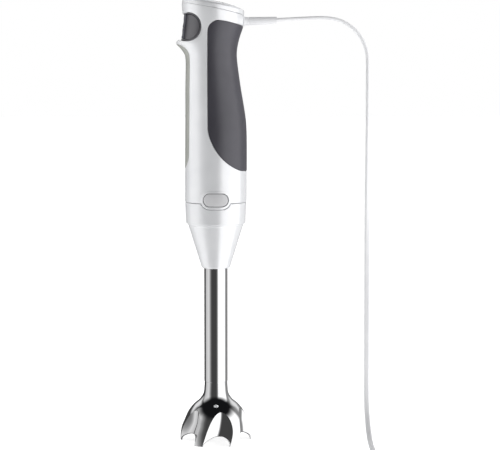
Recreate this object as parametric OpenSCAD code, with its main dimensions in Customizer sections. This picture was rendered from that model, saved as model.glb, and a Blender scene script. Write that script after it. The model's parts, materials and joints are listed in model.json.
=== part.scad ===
/* [Foot] */
// Diameter of the blending bell at its rim
bell_d = 64; // [63:0.5:66]
// Wall thickness of the bell
bell_wall = 1.4; // [1.2:0.1:1.6]
// Height of the joint between bell and tube
bell_h = 53; // [52:0.5:55]
// Outside diameter of the steel tube
tube_d = 21; // [20.6:0.2:21.4]
// Height of the seam between foot and handle
seam_z = 214.5; // [205:0.5:225]
// Tip-to-tip diameter of the blade
blade_d = 38; // [32:1:40]
// Height of the blade's middle above the rim
blade_z = 10; // [9:0.5:12]

/* [Handle] */
// Diameter of the handle at the seam
handle_d = 54.8; // [54:0.2:57]
// Wall thickness of the two handle shells
wall = 3; // [2.6:0.1:3.2]
// Depth of the recess that the soft grip fills
grip_depth = 1.7; // [1.2:0.1:2]
// Depth of the recess that the front trim fills
trim_depth = 1.2; // [0.8:0.1:1.6]
// Width of the front trim
trim_w = 26; // [22:1:28]
// How far the finger rest stands out at the front
rest_out = 8; // [5:0.5:9]

/* [Switch] */
// Diameter of the round switch bezel
bezel_d = 25.2; // [24.6:0.2:25.6]
// Travel of each switch button
switch_travel = 2.5; // [1.5:0.1:2.5]

/* [Speed dial] */
// Diameter of the speed dial
dial_d = 56.4; // [55:0.2:57]
// Height of the dial's side
dial_side = 5; // [4:0.5:6]
// Rise of the dial's crown above its side
dial_crown = 3; // [1:0.5:3.5]
// Tilt of the dial, falling towards the back
dial_tilt = 11.2; // [9:0.2:12]

/* [Release buttons] */
// Length of a release button
release_w = 22.5; // [20:0.5:23]
// Height of a release button
release_h = 11.9; // [11:0.1:12.4]
// Travel of a release button
release_travel = 2.5; // [1.5:0.1:2.5]

/* [Cord] */
// Width of the flat cord
cord_w = 5; // [4.4:0.2:5.2]
// Thickness of the flat cord
cord_t = 3; // [2.6:0.1:3.2]
// Length of the plug's pins
pin_len = 19; // [18:0.5:20]

/* [Hidden] */
$fn = 64;
eps = 0.01;
big = 200;

bell_r = bell_d / 2;
tube_r = tube_d / 2;
tube_wall = 1;
handle_r = handle_d / 2;

// Bell outline from the rim up: height, and radius less than at the rim
bell_line = [[0, 0], [5, 0.1], [11.7, 1.2], [18, 3.7], [25.4, 7.2], [31.2, 11.7],
  [36, 17.2], [41.6, 20.7], [47, 21.5], [bell_h, 21.8]];
arms = 6;
niche_half_deg = 22.5;
niche_least_deg = 4;
niche_straight_z = 9;
niche_top_z = 29;
niche_deep = 4;
niche_rise = 8;
niche_swirl_deg = 11;
niche_steps = 8;
arm_steps = 3;
bell_steps = 15;

// Handle sections: height above the seam, then what front, back and half width
// differ by from the radius at the seam
body_line = [[0, 0, 0, 0], [28, -0.1, 0.2, -0.1], [55, -0.3, 0.2, -0.4],
  [70, -0.4, -0.3, -0.8], [83, -0.5, -2, -1.4], [100, -0.5, -4.9, -2.4],
  [116, -0.8, -7.2, -3.1], [128, -0.9, -8.6, -3.2], [135, -0.6, -8.6, -2.9],
  [147, 0.3, -6.1, -1.6], [157, 1.2, -2.6, -0.2], [166, 1.9, -2.4, 0.6],
  [182, 3, -2.4, 0.9]];
// Finger rest: height above the seam, and share of its full depth
rest_line = [[122, 0], [127, 0.02], [131.3, 0.1], [137, 0.55], [141, 1], [143.5, 0.85],
  [146.5, 0.2], [150, 0]];
body_sides = 48;
body_heights = concat([for (h = [0:9:117]) h], [for (h = [121:3:184]) h]);

// Speed dial: the middle of the slanted seam, from which its parts are placed
dial_x = -2.5;
dial_h = 171.1;
dial_r = dial_d / 2;
dial_gap = 0.35;
deck_t = 2.2;
deck_r = 24.4;
deck_back_x = 18.5;
spindle_r = 3;
running_gap = 0.05;
pot_r = 6.5;
pot_depth = 10;

// Soft grip outline, as x and height above the seam
grip_x = -7.1;
grip_top = 150.5;
grip_low = 65.8;
grip_line = [[-4, 56.6], [0.6, 47.4], [1.5, 44.2], [8.7, 36.5], [16.7, 30.9], [24, 28.1],
[40, 27.6], [40, 153.2], [24.8, 156.2], [3, 160.2], [-4, 157.6]];
fit_gap = 0.25;

// Front trim, as heights above the seam
trim_low = 30;
trim_top = 140.5;
trim_corner = 5;

// Switch: the middle of its round bezel, as x and height above the seam
switch_x = -25.1;
switch_h = 154.9;
bezel_wall = 1.3;
frame_r = bezel_d / 2 - bezel_wall - 0.1;
frame_back_x = -18;
recess_x = -20.5;
cheek_t = 3;
face_r = 26;
face_tilt = 6.7;
face_x = -2.5;
key_w = 20;
key_h = 9.4;
key_t = 4.4;
key_gap = 0.4;
key_face_out = 0.7;
stem_r = 2;
stem_end_x = -19;
key_z = key_h / 2 + key_gap / 2 + 0.3;

// Release buttons, as heights above the seam
release_z = 3;
release_gap = 0.35;
lobe_w = 27.6;
lobe_h = 16.8;
release_back = 2.2;
hook_w = 8;
hook_h = 3;
hook_end = 22.5;

// Coupling between handle and foot
spigot_r = 22;
spigot_wall = 2.2;
spigot_top = 11.5;
spigot_web = 18;
socket_gap = 0.3;
socket_top = 16;
bulkhead_t = 2.5;
spring_seat = 21.6;
seam_gap = 0.4;
collar_wall = 3.2;
cone_step = 18;

// Motor, as heights above the seam
shaft_r = 2.5;
coupling_core_r = 4.2;
coupling_lobe_r = 6.2;
coupling_lobe_w = 3;
coupling_gap = 0.35;
coupling_lobes = 4;
stator_r = 22.3;
stator_bore_r = 13.2;
stator_low = 48.5;
stator_h = 24;
armature_r = 12.6;
armature_slots = 12;
bearing_r = 8;
bearing_h = 5;
lower_bearing_z = 20;
upper_bearing_z = 99.3;
fan_z = 28.5;
fan_r = 18.5;
fan_h = 8;
vanes = 9;
commutator_z = 82.5;
commutator_r = 8;
commutator_h = 12;
bars = 16;
brush_z = 88;

// Control board and what stands on it, as heights above the seam
board_x = -12.6;
board_t = 1.4;
board_w = 30;
board_low = 112;
board_top = 166;

// Screws that join the shells: their places, as x and height above the seam
screw_places = [[5, 117], [11, 143]];
screw_r = 1.4;
screw_head_r = 2.7;
screw_len = 9;
boss_out_r = 4.4;

// Foot's running gear
rod_r = 3;
bush_top = 195;
boss_r = 7.6;

// Strain relief, from its root in the wall to its tip
relief_x = 25;
relief_h = 160.8;
relief_tilt = 2;
relief_len = 29.7;
relief_root_r = 3.8;
relief_tip_r = 3.1;

// Cord from the strain relief to the coil: a point, and the way its wide side faces
cord_route = [[[55, 0, 376.8], [0, 1, 0]], [[66, 0, 377.4], [0, 1, 0]],
  [[78, 0, 378.1], [0, 1, 0]], [[90, 0, 378.5], [0, 1, 0]], [[98, 0, 378.6], [0, 1, 0]],
  [[111, 0, 376.3], [0, 1, 0]], [[122.4, 0, 369.7], [0, 1, 0]],
  [[130.9, 0, 359.6], [0, 1, 0]], [[135.4, 0, 347.2], [0, 1, 0]],
  [[136, 0, 334], [0, 1, 0]], [[136, 0, 310], [0, 1, 0]], [[136, 0, 280], [0.3, 1, 0]],
  [[136, 0, 245], [0.7, 0.8, 0]], [[136, 0, 205], [0.9, 0.5, 0]],
  [[136, 0, 160], [1, 0.2, 0]], [[136, 0, 115], [1, 0, 0]], [[136, 0, 75], [1, 0, 0]],
  [[136, 0, 47], [1, 0, 0]], [[136, -3.4, 29.3], [1, 0, 0]], [[136, -13.2, 14.7], [1, 0, 0]],
  [[136, -27.8, 5], [1, 0, 0]], [[136, -45, 1.7], [1, 0, 0]], [[136, -62, 1.8], [1, 0, 0.15]],
  [[136, -80, 2.3], [0.7, 0, 0.8]], [[136, -98, 2.6], [0.2, 0, 1]],
  [[136, -119, 2.6], [0, 0, 1]]];
cord_between = 2;
cord_sides = 8;
coil_x = 104;
coil_y = -119;
coil_in = 22.6;
coil_out = 34.4;
coil_h = 10.4;
// Short end of the cord from the coil's upper layer to the plug
tail_route = [[[104, -151.6, 7.8], [0, 0, 1]], [[92, -151, 7.6], [0, 0.2, 1]],
  [[80, -148.4, 7.2], [0, 0.6, 0.8]], [[70, -144.4, 7], [0, 1, 0.3]],
  [[61, -139.6, 7], [0, 1, 0]]];
plug_x = 61;
plug_y = -139.6;
plug_turn = 152;
plug_t = 13.7;
plug_len = 35;
plug_half_w = 17.6;
plug_neck = 14;
pin_r = 2;
pin_apart = 18.6;

// ---- Shared functions ----

function unit(v) = v / norm(v);

function slope(line, i, k) =
  let (a = max(i - 1, 0), b = min(i + 1, len(line) - 1))
  (line[b][k] - line[a][k]) / (line[b][0] - line[a][0]);

// Column k of a table at height h, on a smooth curve through its rows
function smooth_at(line, h, k) =
  let (last = len(line) - 1,
       z = min(max(h, line[0][0]), line[last][0]),
       i = max([0, for (j = [0:last - 1]) if (line[j][0] <= z) j]),
       w = line[i + 1][0] - line[i][0],
       t = (z - line[i][0]) / w,
       s = 1 - t)
  line[i][k] * (1 + 2 * t) * s * s + slope(line, i, k) * w * t * s * s
    + line[i + 1][k] * (3 - 2 * t) * t * t - slope(line, i + 1, k) * w * t * t * s;

// One ring of the handle's outline, moved outwards by grow
function body_ring(h, grow) =
  let (front = handle_r + smooth_at(body_line, h, 1),
       back = handle_r + smooth_at(body_line, h, 2),
       half = handle_r + smooth_at(body_line, h, 3),
       rest = rest_out * smooth_at(rest_line, h, 1))
  [for (i = [0:body_sides - 1])
    let (a = 360 * i / body_sides, forward = max(0, -cos(a)))
    [(back - front) / 2 + ((back + front) / 2 + grow) * cos(a) - rest * forward * forward,
     (half + grow) * sin(a), seam_z + h]];

// Half angle, deepest point and turn of a niche in the bell at height z
function niche_deg(z) =
  let (t = max(0, z - niche_straight_z) / (niche_top_z - niche_straight_z))
  max(niche_least_deg, niche_half_deg * sqrt(max(0, 1 - t * t)));
function niche_depth(z) = niche_deep * pow(niche_deg(z) / niche_half_deg, 2);
function niche_turn(z) = niche_swirl_deg * sin(90 * min(1, z / niche_top_z));

// A point of the bell's wall: s runs over one sector, u from the rim to the neck
function bell_point(sector, s, u, inset) =
  let (inside = s <= niche_steps,
       v = inside ? 2 * s / niche_steps - 1 : 0,
       rim = inside ? niche_rise * sqrt(1 - v * v) : 0,
       z = rim + (bell_h - rim) * u,
       half = niche_deg(z),
       r = bell_r - smooth_at(bell_line, z, 1),
       a = inside ? v * half : half + (60 - 2 * half) * (s - niche_steps) / arm_steps,
       deep = inside
         ? r * cos(half) / cos(a) - niche_depth(z) * (1 - v * v)
         : r,
       turn = sector * 60 + 30 + niche_turn(z) + a)
  [(deep - inset) * cos(turn), (deep - inset) * sin(turn), z];

function bell_ring(u, inset) =
  [for (sector = [0:arms - 1], s = [0:niche_steps + arm_steps - 1])
    bell_point(sector, s, u, inset)];

// The shape of a cord's cross-section at one point of its route
function cord_ring(p, ahead, wide_hint) =
  let (t = unit(ahead),
       wide = unit(wide_hint - (wide_hint * t) * t),
       thin = cross(t, wide))
  [for (i = [0:cord_sides - 1])
    let (a = 360 * (i + 0.5) / cord_sides)
    p + wide * cord_w / 2 * cos(a) / cos(180 / cord_sides)
      + thin * cord_t / 2 * sin(a) / cos(180 / cord_sides)];

// A point between four route points, on a smooth curve through the middle two
function curve_at(a, b, c, d, t) =
  b + t * (c - a) / 2 + t * t * (2 * a - 5 * b + 4 * c - d) / 2
    + t * t * t * (3 * b - a - 3 * c + d) / 2;

function route_point(route, i, t, k) =
  let (last = len(route) - 1)
  curve_at(route[max(i - 1, 0)][k], route[i][k], route[min(i + 1, last)][k],
    route[min(i + 2, last)][k], t);

function route_rings(route) =
  let (n = (len(route) - 1) * cord_between,
       at = [for (j = [0:n]) route_point(route, floor(j / cord_between),
         (j % cord_between) / cord_between, 0)],
       wide = [for (j = [0:n]) route_point(route, floor(j / cord_between),
         (j % cord_between) / cord_between, 1)])
  [for (j = [0:n]) cord_ring(at[j], at[min(j + 1, n)] - at[max(j - 1, 0)], wide[j])];

// ---- Shared shapes ----

// A closed surface through equal rings of points; loop joins the last to the first
module skin(rings, loop = false) {
  n = len(rings[0]);
  m = len(rings);
  strips = loop ? m - 1 : m - 2;
  sides = [for (i = [0:strips], j = [0:n - 1])
    let (a = i * n + j,
         b = i * n + (j + 1) % n,
         c = ((i + 1) % m) * n + (j + 1) % n,
         d = ((i + 1) % m) * n + j)
    each [[a, d, c], [a, c, b]]];
  caps = loop ? [] : [[for (j = [0:n - 1]) j], [for (j = [n - 1:-1:0]) (m - 1) * n + j]];
  polyhedron(points = [for (r = rings) each r], faces = concat(sides, caps));
}

module body_solid(grow, below = 0) {
  heights = concat(below > 0 ? [-below] : [], body_heights);
  skin([for (h = heights) body_ring(h, grow)]);
}

module ring(outer, inner, h) {
  difference() {
    cylinder(r = outer, h = h);
    translate([0, 0, -1]) cylinder(r = inner, h = h + 2);
  }
}

module stadium(w, h) {
  for (side = [-1, 1]) translate([side * (w - h) / 2, 0]) circle(d = h);
  square([w - h, h], center = true);
}

// Places children drawn in x and height above the seam, as a bar along Y
module across_y(low, high) {
  translate([0, high, seam_z]) rotate([90, 0, 0]) linear_extrude(high - low) children();
}

module at_seam(h) { translate([0, 0, seam_z + h]) children(); }

module on_dial(h) {
  at_seam(dial_h) translate([dial_x, 0, 0]) rotate([0, dial_tilt, 0])
    translate([0, 0, h]) children();
}

// Everything above the slanted seam under the dial
module above_deck() {
  on_dial(0) translate([-big / 2, -big / 2, 0]) cube(big);
}

// A conical spring along Z, as one closed wire; its turns nest inside each other when pressed
module coil_spring(r, top_r, wire_r, h, turns) {
  steps = 10;
  sides = 6;
  skin([for (i = [0:turns * steps])
    let (part = i / (turns * steps), a = 360 * i / steps,
      middle = r + (top_r - r) * part, z = wire_r + (h - 2 * wire_r) * part)
    [for (j = [0:sides - 1])
      let (b = -360 * j / sides, q = middle + wire_r * cos(b))
      [q * cos(a), q * sin(a), z + wire_r * sin(b)]]]);
}

// ---- Foot ----

module bell() {
  rows = [for (i = [0:bell_steps]) i / bell_steps];
  color("silver") resize([0, 0, 0])
    skin(concat([for (u = rows) bell_ring(u, 0)],
      [for (i = [bell_steps:-1:0]) bell_ring(rows[i], bell_wall)]), loop = true);
}

module shaft_tube() {
  color("lightsteelblue") translate([0, 0, bell_h])
    ring(tube_r, tube_r - tube_wall, bush_top + 1 - bell_h);
}

module foot_housing() {
  collar_r = handle_r - 0.2;
  sleeve_r = tube_r + 1.8;
  inner_r = collar_r - collar_wall;
  low = seam_z - 59.3;
  top = seam_z - seam_gap;
  step = seam_z - cone_step;
  color("white") difference() {
    rotate_extrude() polygon([[tube_r, low], [12.2, low], [13, low + 1.4],
      [24.4, step - 3.2], [25, step - 2.2], [26.1, step - 1.2], [26.5, step],
      [collar_r, top - 0.6], [collar_r - 0.6, top], [inner_r, top], [inner_r, step],
      [22.2, step - 3], [sleeve_r, low + 10], [sleeve_r, step - 1], [tube_r, step - 1]]);
    across_y(-big, big) translate([0, release_z])
      stadium(lobe_w + 2 * seam_gap, lobe_h + 2 * seam_gap);
  }
}

module foot_spigot() {
  flange_r = handle_r - 0.2 - collar_wall;
  color("whitesmoke") difference() {
    union() {
      at_seam(-spigot_web) ring(flange_r, tube_r, 3);
      at_seam(-spigot_web) ring(spigot_r, spigot_r - spigot_wall, spigot_web + spigot_top);
    }
    at_seam(release_z) cube([hook_w + 3, big, hook_h + 2.6], center = true);
  }
}

module bell_boss() {
  neck_r = bell_r - smooth_at(bell_line, bell_h, 1) - bell_wall;
  color("dimgray") rotate_extrude() polygon([[6, 20], [boss_r - 1, 20], [boss_r, 21.2],
    [boss_r + 0.6, 38], [neck_r - 0.1, 42], [neck_r - 0.1, bell_h - 0.5], [4, bell_h - 0.5],
    [4, 46], [6, 46]]);
}

module lower_bush() {
  color("darkgoldenrod") translate([0, 0, 27]) ring(6, rod_r + running_gap, 18);
}

module shaft_seal() {
  color("black") rotate_extrude() polygon([[rod_r + 0.08, 20.6], [5.9, 20.2], [6, 26],
    [rod_r + 0.9, 26], [rod_r + 0.9, 22.4], [rod_r + 0.08, 21.4]]);
}

module upper_bush() {
  color("darkgoldenrod") translate([0, 0, bush_top - 9])
    ring(tube_r - tube_wall, rod_r + running_gap, 9);
}

module drive_shaft() {
  color("silver") translate([0, 0, 7]) cylinder(r = rod_r, h = seam_z - 8 - 7);
}

// The four-lobed outline that both halves of the drive coupling share
module lobes(gap) {
  circle(r = coupling_core_r + gap);
  for (i = [0:coupling_lobes / 2 - 1]) rotate(360 * i / coupling_lobes)
    square([2 * (coupling_lobe_r + gap), coupling_lobe_w + 2 * gap], center = true);
}

module driven_coupling() {
  color("gold") difference() {
    at_seam(-14) cylinder(r = 9, h = 24.5);
    at_seam(-1) linear_extrude(20) lobes(coupling_gap);
    at_seam(-15) cylinder(r = rod_r, h = 7);
  }
}

module blade() {
  wing_tilt = [16, -9, 16, -9];
  color("silver") difference() {
    union() {
      translate([0, 0, blade_z - 0.6]) cylinder(r = 6, h = 1.2);
      for (i = [0:3]) rotate([0, 0, 90 * i]) translate([3, 0, blade_z])
        rotate([0, -wing_tilt[i], 0]) translate([0, 0, -0.6]) linear_extrude(1.2)
          polygon([[0, -3.4], [blade_d / 2 - 5, -3.6], [blade_d / 2 - 3.4, -1],
            [blade_d / 2 - 4.2, 2.2], [0, 3.4]]);
    }
    translate([0, 0, -1]) cylinder(r = rod_r, h = 30);
  }
}

module blade_hub() {
  color("gray") rotate_extrude() polygon([[rod_r, blade_z + 1.4], [5.2, blade_z + 1.4],
    [6.2, blade_z + 5], [6.2, 19.4], [rod_r, 19.4]]);
}

module blade_nut() {
  color("silver") difference() {
    translate([0, 0, blade_z - 4.6]) cylinder(r = 5.2, h = 3, $fn = 6);
    translate([0, 0, 7]) cylinder(r = rod_r, h = 10);
  }
}

// ---- Handle casing ----

module grip_outline(gap) {
  offset(delta = gap) polygon(concat(grip_line, [[-6.4, 155.2], [grip_x, grip_top],
    [grip_x, grip_low], [-6.4, 61]]));
}

module trim_outline(gap) {
  half = trim_w / 2 + gap;
  hull() {
    translate([0, trim_low + half]) circle(r = half);
    for (side = [-1, 1])
      translate([side * (half - trim_corner), trim_top + gap - trim_corner])
        circle(r = trim_corner);
  }
}

// The front trim's outline drawn through the front of the handle
module trim_block(gap) {
  translate([-big, 0, seam_z]) rotate([90, 0, 90]) linear_extrude(big - 10)
    trim_outline(gap);
}

module shell(side) {
  resize([0, 0, 0]) difference() {
    union() {
      body_solid(0);
      intersection() {
        at_seam(-10) ring(handle_r, handle_r - wall, 12);
        across_y(-big, big) translate([0, release_z]) stadium(lobe_w, lobe_h);
      }
    }
    difference() {
      body_solid(-wall, below = 20);
      screw_bosses(boss_out_r, -20, 20);
    }
    screw_bosses(screw_r + 0.1, -screw_len, screw_len);
    screw_bosses(screw_head_r + 0.3, -40, -screw_len);
    translate([-big / 2, side > 0 ? eps - big : -eps, 0]) cube([big, big, 3 * big]);
    above_deck();
    across_y(-big, big) translate([switch_x, switch_h]) circle(d = bezel_d + 0.2);
    difference() {
      across_y(-big, big) grip_outline(fit_gap);
      body_solid(-grip_depth - 0.1);
    }
    difference() {
      trim_block(fit_gap);
      body_solid(-trim_depth - 0.1);
    }
    at_relief(-10) cylinder(r = relief_root_r + 0.3, h = 20);
    across_y(-big, big) translate([0, release_z])
      stadium(release_w + 2 * release_gap, release_h + 2 * release_gap);
  }
}

// Round bars on the screws' axes; their +Z runs towards the left side
module screw_bosses(r, from, to) {
  for (p = screw_places) at_seam(p[1]) translate([p[0], 0, 0]) rotate([90, 0, 0])
    translate([0, 0, from]) cylinder(r = r, h = to - from);
}

module left_shell() { color("white") shell(-1); }

module right_shell() { color("white") shell(1); }

module front_trim() {
  color("lightgray") resize([0, 0, 0]) difference() {
    intersection() {
      body_solid(0.1);
      trim_block(0);
    }
    body_solid(-trim_depth);
    across_y(-big, big) translate([switch_x, switch_h]) circle(d = bezel_d + 0.2);
  }
}

module rear_grip() {
  color("dimgray") resize([0, 0, 0]) difference() {
    intersection() {
      body_solid(0.2);
      across_y(-big, big) grip_outline(0);
    }
    body_solid(-grip_depth);
  }
}

module coupling_socket() {
  outer = handle_r - wall - 0.2;
  color("gainsboro") difference() {
    union() {
      at_seam(0.5) ring(outer, spigot_r + socket_gap, socket_top - 0.5);
      at_seam(socket_top - bulkhead_t) ring(outer, 9.6, bulkhead_t);
    }
    for (side = [-1, 1]) at_seam(release_z - 9)
      translate([-13, side > 0 ? spring_seat : -big - spring_seat, 0]) cube([26, big, 18]);
  }
}

module top_deck() {
  color("gainsboro") difference() {
    on_dial(-deck_t) cylinder(r = deck_r, h = deck_t - 0.2);
    on_dial(-deck_t - 1) cylinder(r = spindle_r + running_gap, h = deck_t + 2);
    translate([deck_back_x, -big / 2, seam_z]) cube(big);
  }
}

// ---- Switch ----

// The leaning round front that the switch parts share, moved outwards by grow
module switch_front(grow) {
  at_seam(switch_h) translate([face_x, 0, 0]) rotate([0, face_tilt, 0])
    cylinder(r = face_r + grow, h = 60, center = true);
}

module switch_bezel() {
  outer = bezel_d / 2;
  color("dimgray") difference() {
    intersection() {
      across_y(-big, big) translate([switch_x, switch_h]) circle(r = outer);
      switch_front(0.8);
    }
    across_y(-big, big) translate([switch_x, switch_h]) circle(r = outer - bezel_wall);
    behind_switch(frame_back_x - 2);
  }
}

// The hollow of the handle behind the switch, which its round cheeks leave free
module behind_switch(from_x) {
  intersection() {
    switch_front(-cheek_t);
    translate([from_x, -big / 2, seam_z]) cube([big, big, big]);
  }
}

module switch_frame() {
  color("darkslategray") difference() {
    intersection() {
      across_y(-big, big) translate([switch_x, switch_h]) circle(r = frame_r);
      switch_front(0);
    }
    behind_switch(frame_back_x);
    translate([-big + recess_x, -key_w / 2 - key_gap, 0])
      cube([big, key_w + 2 * key_gap, 3 * big]);
    for (up = [-1, 1]) at_seam(switch_h + up * key_z) rotate([0, 90, 0])
      cylinder(r = stem_r + 0.08, h = 60, center = true);
  }
}

// One switch button: a curved cap and its stem; up is 1 for the upper one
module switch_button(up) {
  cap_back_x = -24.3;
  intersection() {
    at_seam(switch_h + up * key_z) translate([-40, 0, 0]) rotate([90, 0, 90])
      linear_extrude(40 + cap_back_x) square([key_w, key_h], center = true);
    switch_front(key_face_out);
    across_y(-big, big) translate([switch_x, switch_h]) circle(r = frame_r - 0.1);
  }
  at_seam(switch_h + up * key_z) translate([cap_back_x - 0.5, 0, 0]) rotate([0, 90, 0])
    cylinder(r = stem_r, h = stem_end_x - cap_back_x + 0.5);
}

module power_button() { color("slategray") switch_button(1); }

module turbo_button() { color("slategray") switch_button(-1); }

module switch_spring(up) {
  foot_r = 3.5;
  top_r = stem_r + 0.4;
  wire_r = 0.2;
  pressed_h = 1.1;
  at_seam(switch_h + up * key_z) translate([recess_x, 0, 0]) rotate([0, -90, 0])
    coil_spring(foot_r, top_r, wire_r, pressed_h, 2);
}

module power_spring() { color("silver") switch_spring(1); }

module turbo_spring() { color("silver") switch_spring(-1); }

module microswitches() {
  size = 6;
  color("black") for (up = [-1, 1]) at_seam(switch_h + up * key_z) {
    translate([board_x - 3.2, -size / 2, -size / 2]) cube([3.2, size, size]);
    translate([board_x - 3.7, 0, 0]) rotate([0, 90, 0]) cylinder(r = 1.6, h = 0.6);
  }
}

// ---- Release buttons ----

module release_button(side) {
  back = handle_r - release_back;
  intersection() {
    across_y(side > 0 ? back : -big, side > 0 ? big : -back) translate([0, release_z])
      stadium(release_w, release_h);
    at_seam(-20) cylinder(r = handle_r + 0.15, h = 50);
  }
  at_seam(release_z - hook_h / 2) translate([-hook_w / 2, side > 0 ? hook_end : -back - 0.2, 0])
    cube([hook_w, back - hook_end + 0.2, hook_h]);
}

module release_button_left() { color("lightgray") release_button(-1); }

module release_button_right() { color("lightgray") release_button(1); }

module release_springs(side) {
  foot_r = 2.1;
  top_r = 0.9;
  wire_r = 0.2;
  pressed_h = 0.9;
  from_middle = 8.4;
  for (x = [-from_middle, from_middle]) at_seam(release_z) translate([x, side * spring_seat, 0])
    rotate([-90 * side, 0, 0]) coil_spring(foot_r, top_r, wire_r, pressed_h, 2);
}

module release_springs_left() { color("silver") release_springs(-1); }

module release_springs_right() { color("silver") release_springs(1); }

// ---- Speed dial ----

module speed_dial() {
  rim = dial_r - 2;
  top = dial_side + dial_crown;
  color("white") on_dial(0) rotate_extrude() polygon([[spindle_r, 0.9], [6, 0.9],
    [6, top - 2.4], [rim - 8, dial_side - 0.8], [rim, dial_side - 2.4], [rim, dial_gap],
    [dial_r - 0.3, dial_gap], [dial_r, dial_gap + 0.3], [dial_r - 0.2, dial_side - 1.6],
    [dial_r - 0.9, dial_side - 0.4], [dial_r - 2.4, dial_side + 0.3],
    [dial_r - 7, dial_side + dial_crown * 0.45], [dial_r - 14, dial_side + dial_crown * 0.8],
    [dial_r - 21, top - 0.15], [spindle_r, top]]);
}

module dial_spindle() {
  color("gray") on_dial(1 - pot_depth) cylinder(r = spindle_r, h = pot_depth + 5);
}

module potentiometer() {
  color("steelblue") on_dial(-pot_depth) difference() {
    cylinder(r = pot_r, h = pot_depth - deck_t - 0.1);
    translate([0, 0, 0.8]) cylinder(r = spindle_r + running_gap, h = pot_depth);
  }
}

// ---- Electronics ----

module control_board() {
  color("darkgreen") at_seam(board_low) translate([board_x, -board_w / 2, 0])
    cube([board_t, board_w, board_top - board_low]);
}

module capacitor() {
  color("gold") at_seam(118) translate([board_x + board_t, -7, 0]) cube([7, 14, 11]);
}

module triac() {
  color("black") at_seam(136) translate([board_x + board_t, -5, 0]) cube([4.5, 10, 14]);
}

module lead_wires() {
  color("saddlebrown") for (side = [-1, 1]) {
    places = [[-10.4, side * 11, 128], [-9.2, side * 11.4, 124], [-5, side * 12.5, 116],
      [-1, side * 13.8, 110], [0, side * 14.6, 104], [0, side * 14.8, 99.4]];
    last = len(places) - 1;
    skin([for (i = [0:last])
      let (t = unit(places[min(i + 1, last)] - places[max(i - 1, 0)]),
           u = unit(cross(t, [0, 1, 0])),
           v = cross(t, u))
      [for (j = [0:7]) places[i] + [0, 0, seam_z] + 0.9 * (u * cos(45 * j) + v * sin(45 * j))]]);
  }
}

module cable_clamp() {
  color("gainsboro") at_seam(157.5) difference() {
    translate([7, -7, 0]) cube([9, 14, 6.2]);
    translate([0, -2.6, 2]) cube([30, 5.2, 3]);
    for (side = [-1, 1]) translate([11.5, side * 5, -1]) cylinder(r = 1.1, h = 20);
  }
}

module housing_screws() {
  color("gray") {
    screw_bosses(screw_r, -screw_len, screw_len - 1);
    screw_bosses(screw_head_r, -screw_len - 1.6, -screw_len);
  }
}

// ---- Motor ----

module motor_shaft() {
  color("silver") at_seam(3) cylinder(r = shaft_r, h = 102.3);
}

module drive_coupling() {
  color("gold") difference() {
    at_seam(0) linear_extrude(14) lobes(0);
    at_seam(2.9) cylinder(r = shaft_r, h = 20);
  }
}

module lower_bearing() {
  color("darkgoldenrod") at_seam(lower_bearing_z)
    ring(bearing_r, shaft_r + running_gap, bearing_h);
}

module upper_bearing() {
  color("darkgoldenrod") at_seam(upper_bearing_z)
    ring(bearing_r, shaft_r + running_gap, bearing_h);
}

module lower_bracket() {
  low = 17;
  color("lightslategray") difference() {
    union() {
      at_seam(low) ring(stator_r, 7, 2.5);
      at_seam(low) ring(bearing_r + 2.4, bearing_r, 8);
      at_seam(low) ring(stator_r, stator_r - 1.5, stator_low - low);
    }
    for (i = [0:2]) at_seam(low + 14) rotate([0, 0, 60 * i])
      translate([-big / 2, -6, -6]) cube([big, 12, 12]);
    for (i = [0:5]) at_seam(low - 1) rotate([0, 0, 60 * i]) translate([15.4, 0, 0])
      cylinder(r = 3.4, h = 5);
  }
}

module upper_bracket() {
  low = 96.5;
  plate_r = 18.4;
  color("lightslategray") {
    difference() {
      at_seam(low) cylinder(r = plate_r, h = 2.5);
      at_seam(low - 1) cylinder(r = bearing_r, h = 5);
      for (side = [-1, 1]) at_seam(low - 1) translate([0, side * 14.8, 0])
        cylinder(r = 1.8, h = 5);
    }
    at_seam(low + 2.5) ring(bearing_r + 2.4, bearing_r, bearing_h + 0.4);
    for (side = [-1, 1]) at_seam(stator_low + stator_h)
      translate([side * 17 - 1, -4, 0]) cube([2, 8, low - stator_low - stator_h]);
  }
}

module slot_block(gap) {
  for (i = [-1, 1], j = [-1, 1])
    translate([i * 8.3 - 2.6 - gap, j * 15.7 - 1.9 - gap, 0])
      cube([5.2 + 2 * gap, 3.8 + 2 * gap, big]);
}

module stator_stack() {
  color("dimgray") difference() {
    at_seam(stator_low) ring(stator_r, stator_bore_r, stator_h);
    translate([0, 0, seam_z]) slot_block(0.15);
  }
}

module field_coils() {
  color("peru") for (side = [-1, 1])
    at_seam(stator_low - 5) translate([0, side * 15.7, 0]) difference() {
      translate([-10.9, -1.9, 0]) cube([21.8, 3.8, stator_h + 10]);
      translate([-5.7, -3, 5 - 0.4]) cube([11.4, 6, stator_h + 0.8]);
    }
}

module armature_core() {
  color("dimgray") difference() {
    at_seam(stator_low) ring(armature_r, shaft_r, stator_h);
    for (i = [0:armature_slots - 1]) at_seam(stator_low - 1)
      rotate([0, 0, 360 * i / armature_slots]) translate([9, -0.6, 0])
        cube([10, 1.2, stator_h + 2]);
  }
}

module armature_winding() {
  color("peru") for (low = [stator_low - 7.2, stator_low + stator_h + 0.2])
    at_seam(low) rotate_extrude() polygon([[shaft_r + 1.5, 0.8], [shaft_r + 3, 0],
      [9.6, 0], [11.4, 1.8], [11.4, 5.4], [9.6, 7], [shaft_r + 1.5, 7]]);
}

module commutator() {
  color("peru") difference() {
    at_seam(commutator_z) ring(commutator_r, shaft_r, commutator_h);
    for (i = [0:bars - 1]) at_seam(commutator_z + 1) rotate([0, 0, 360 * i / bars])
      translate([commutator_r - 0.5, -0.2, 0]) cube([2, 0.4, commutator_h]);
  }
}

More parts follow.
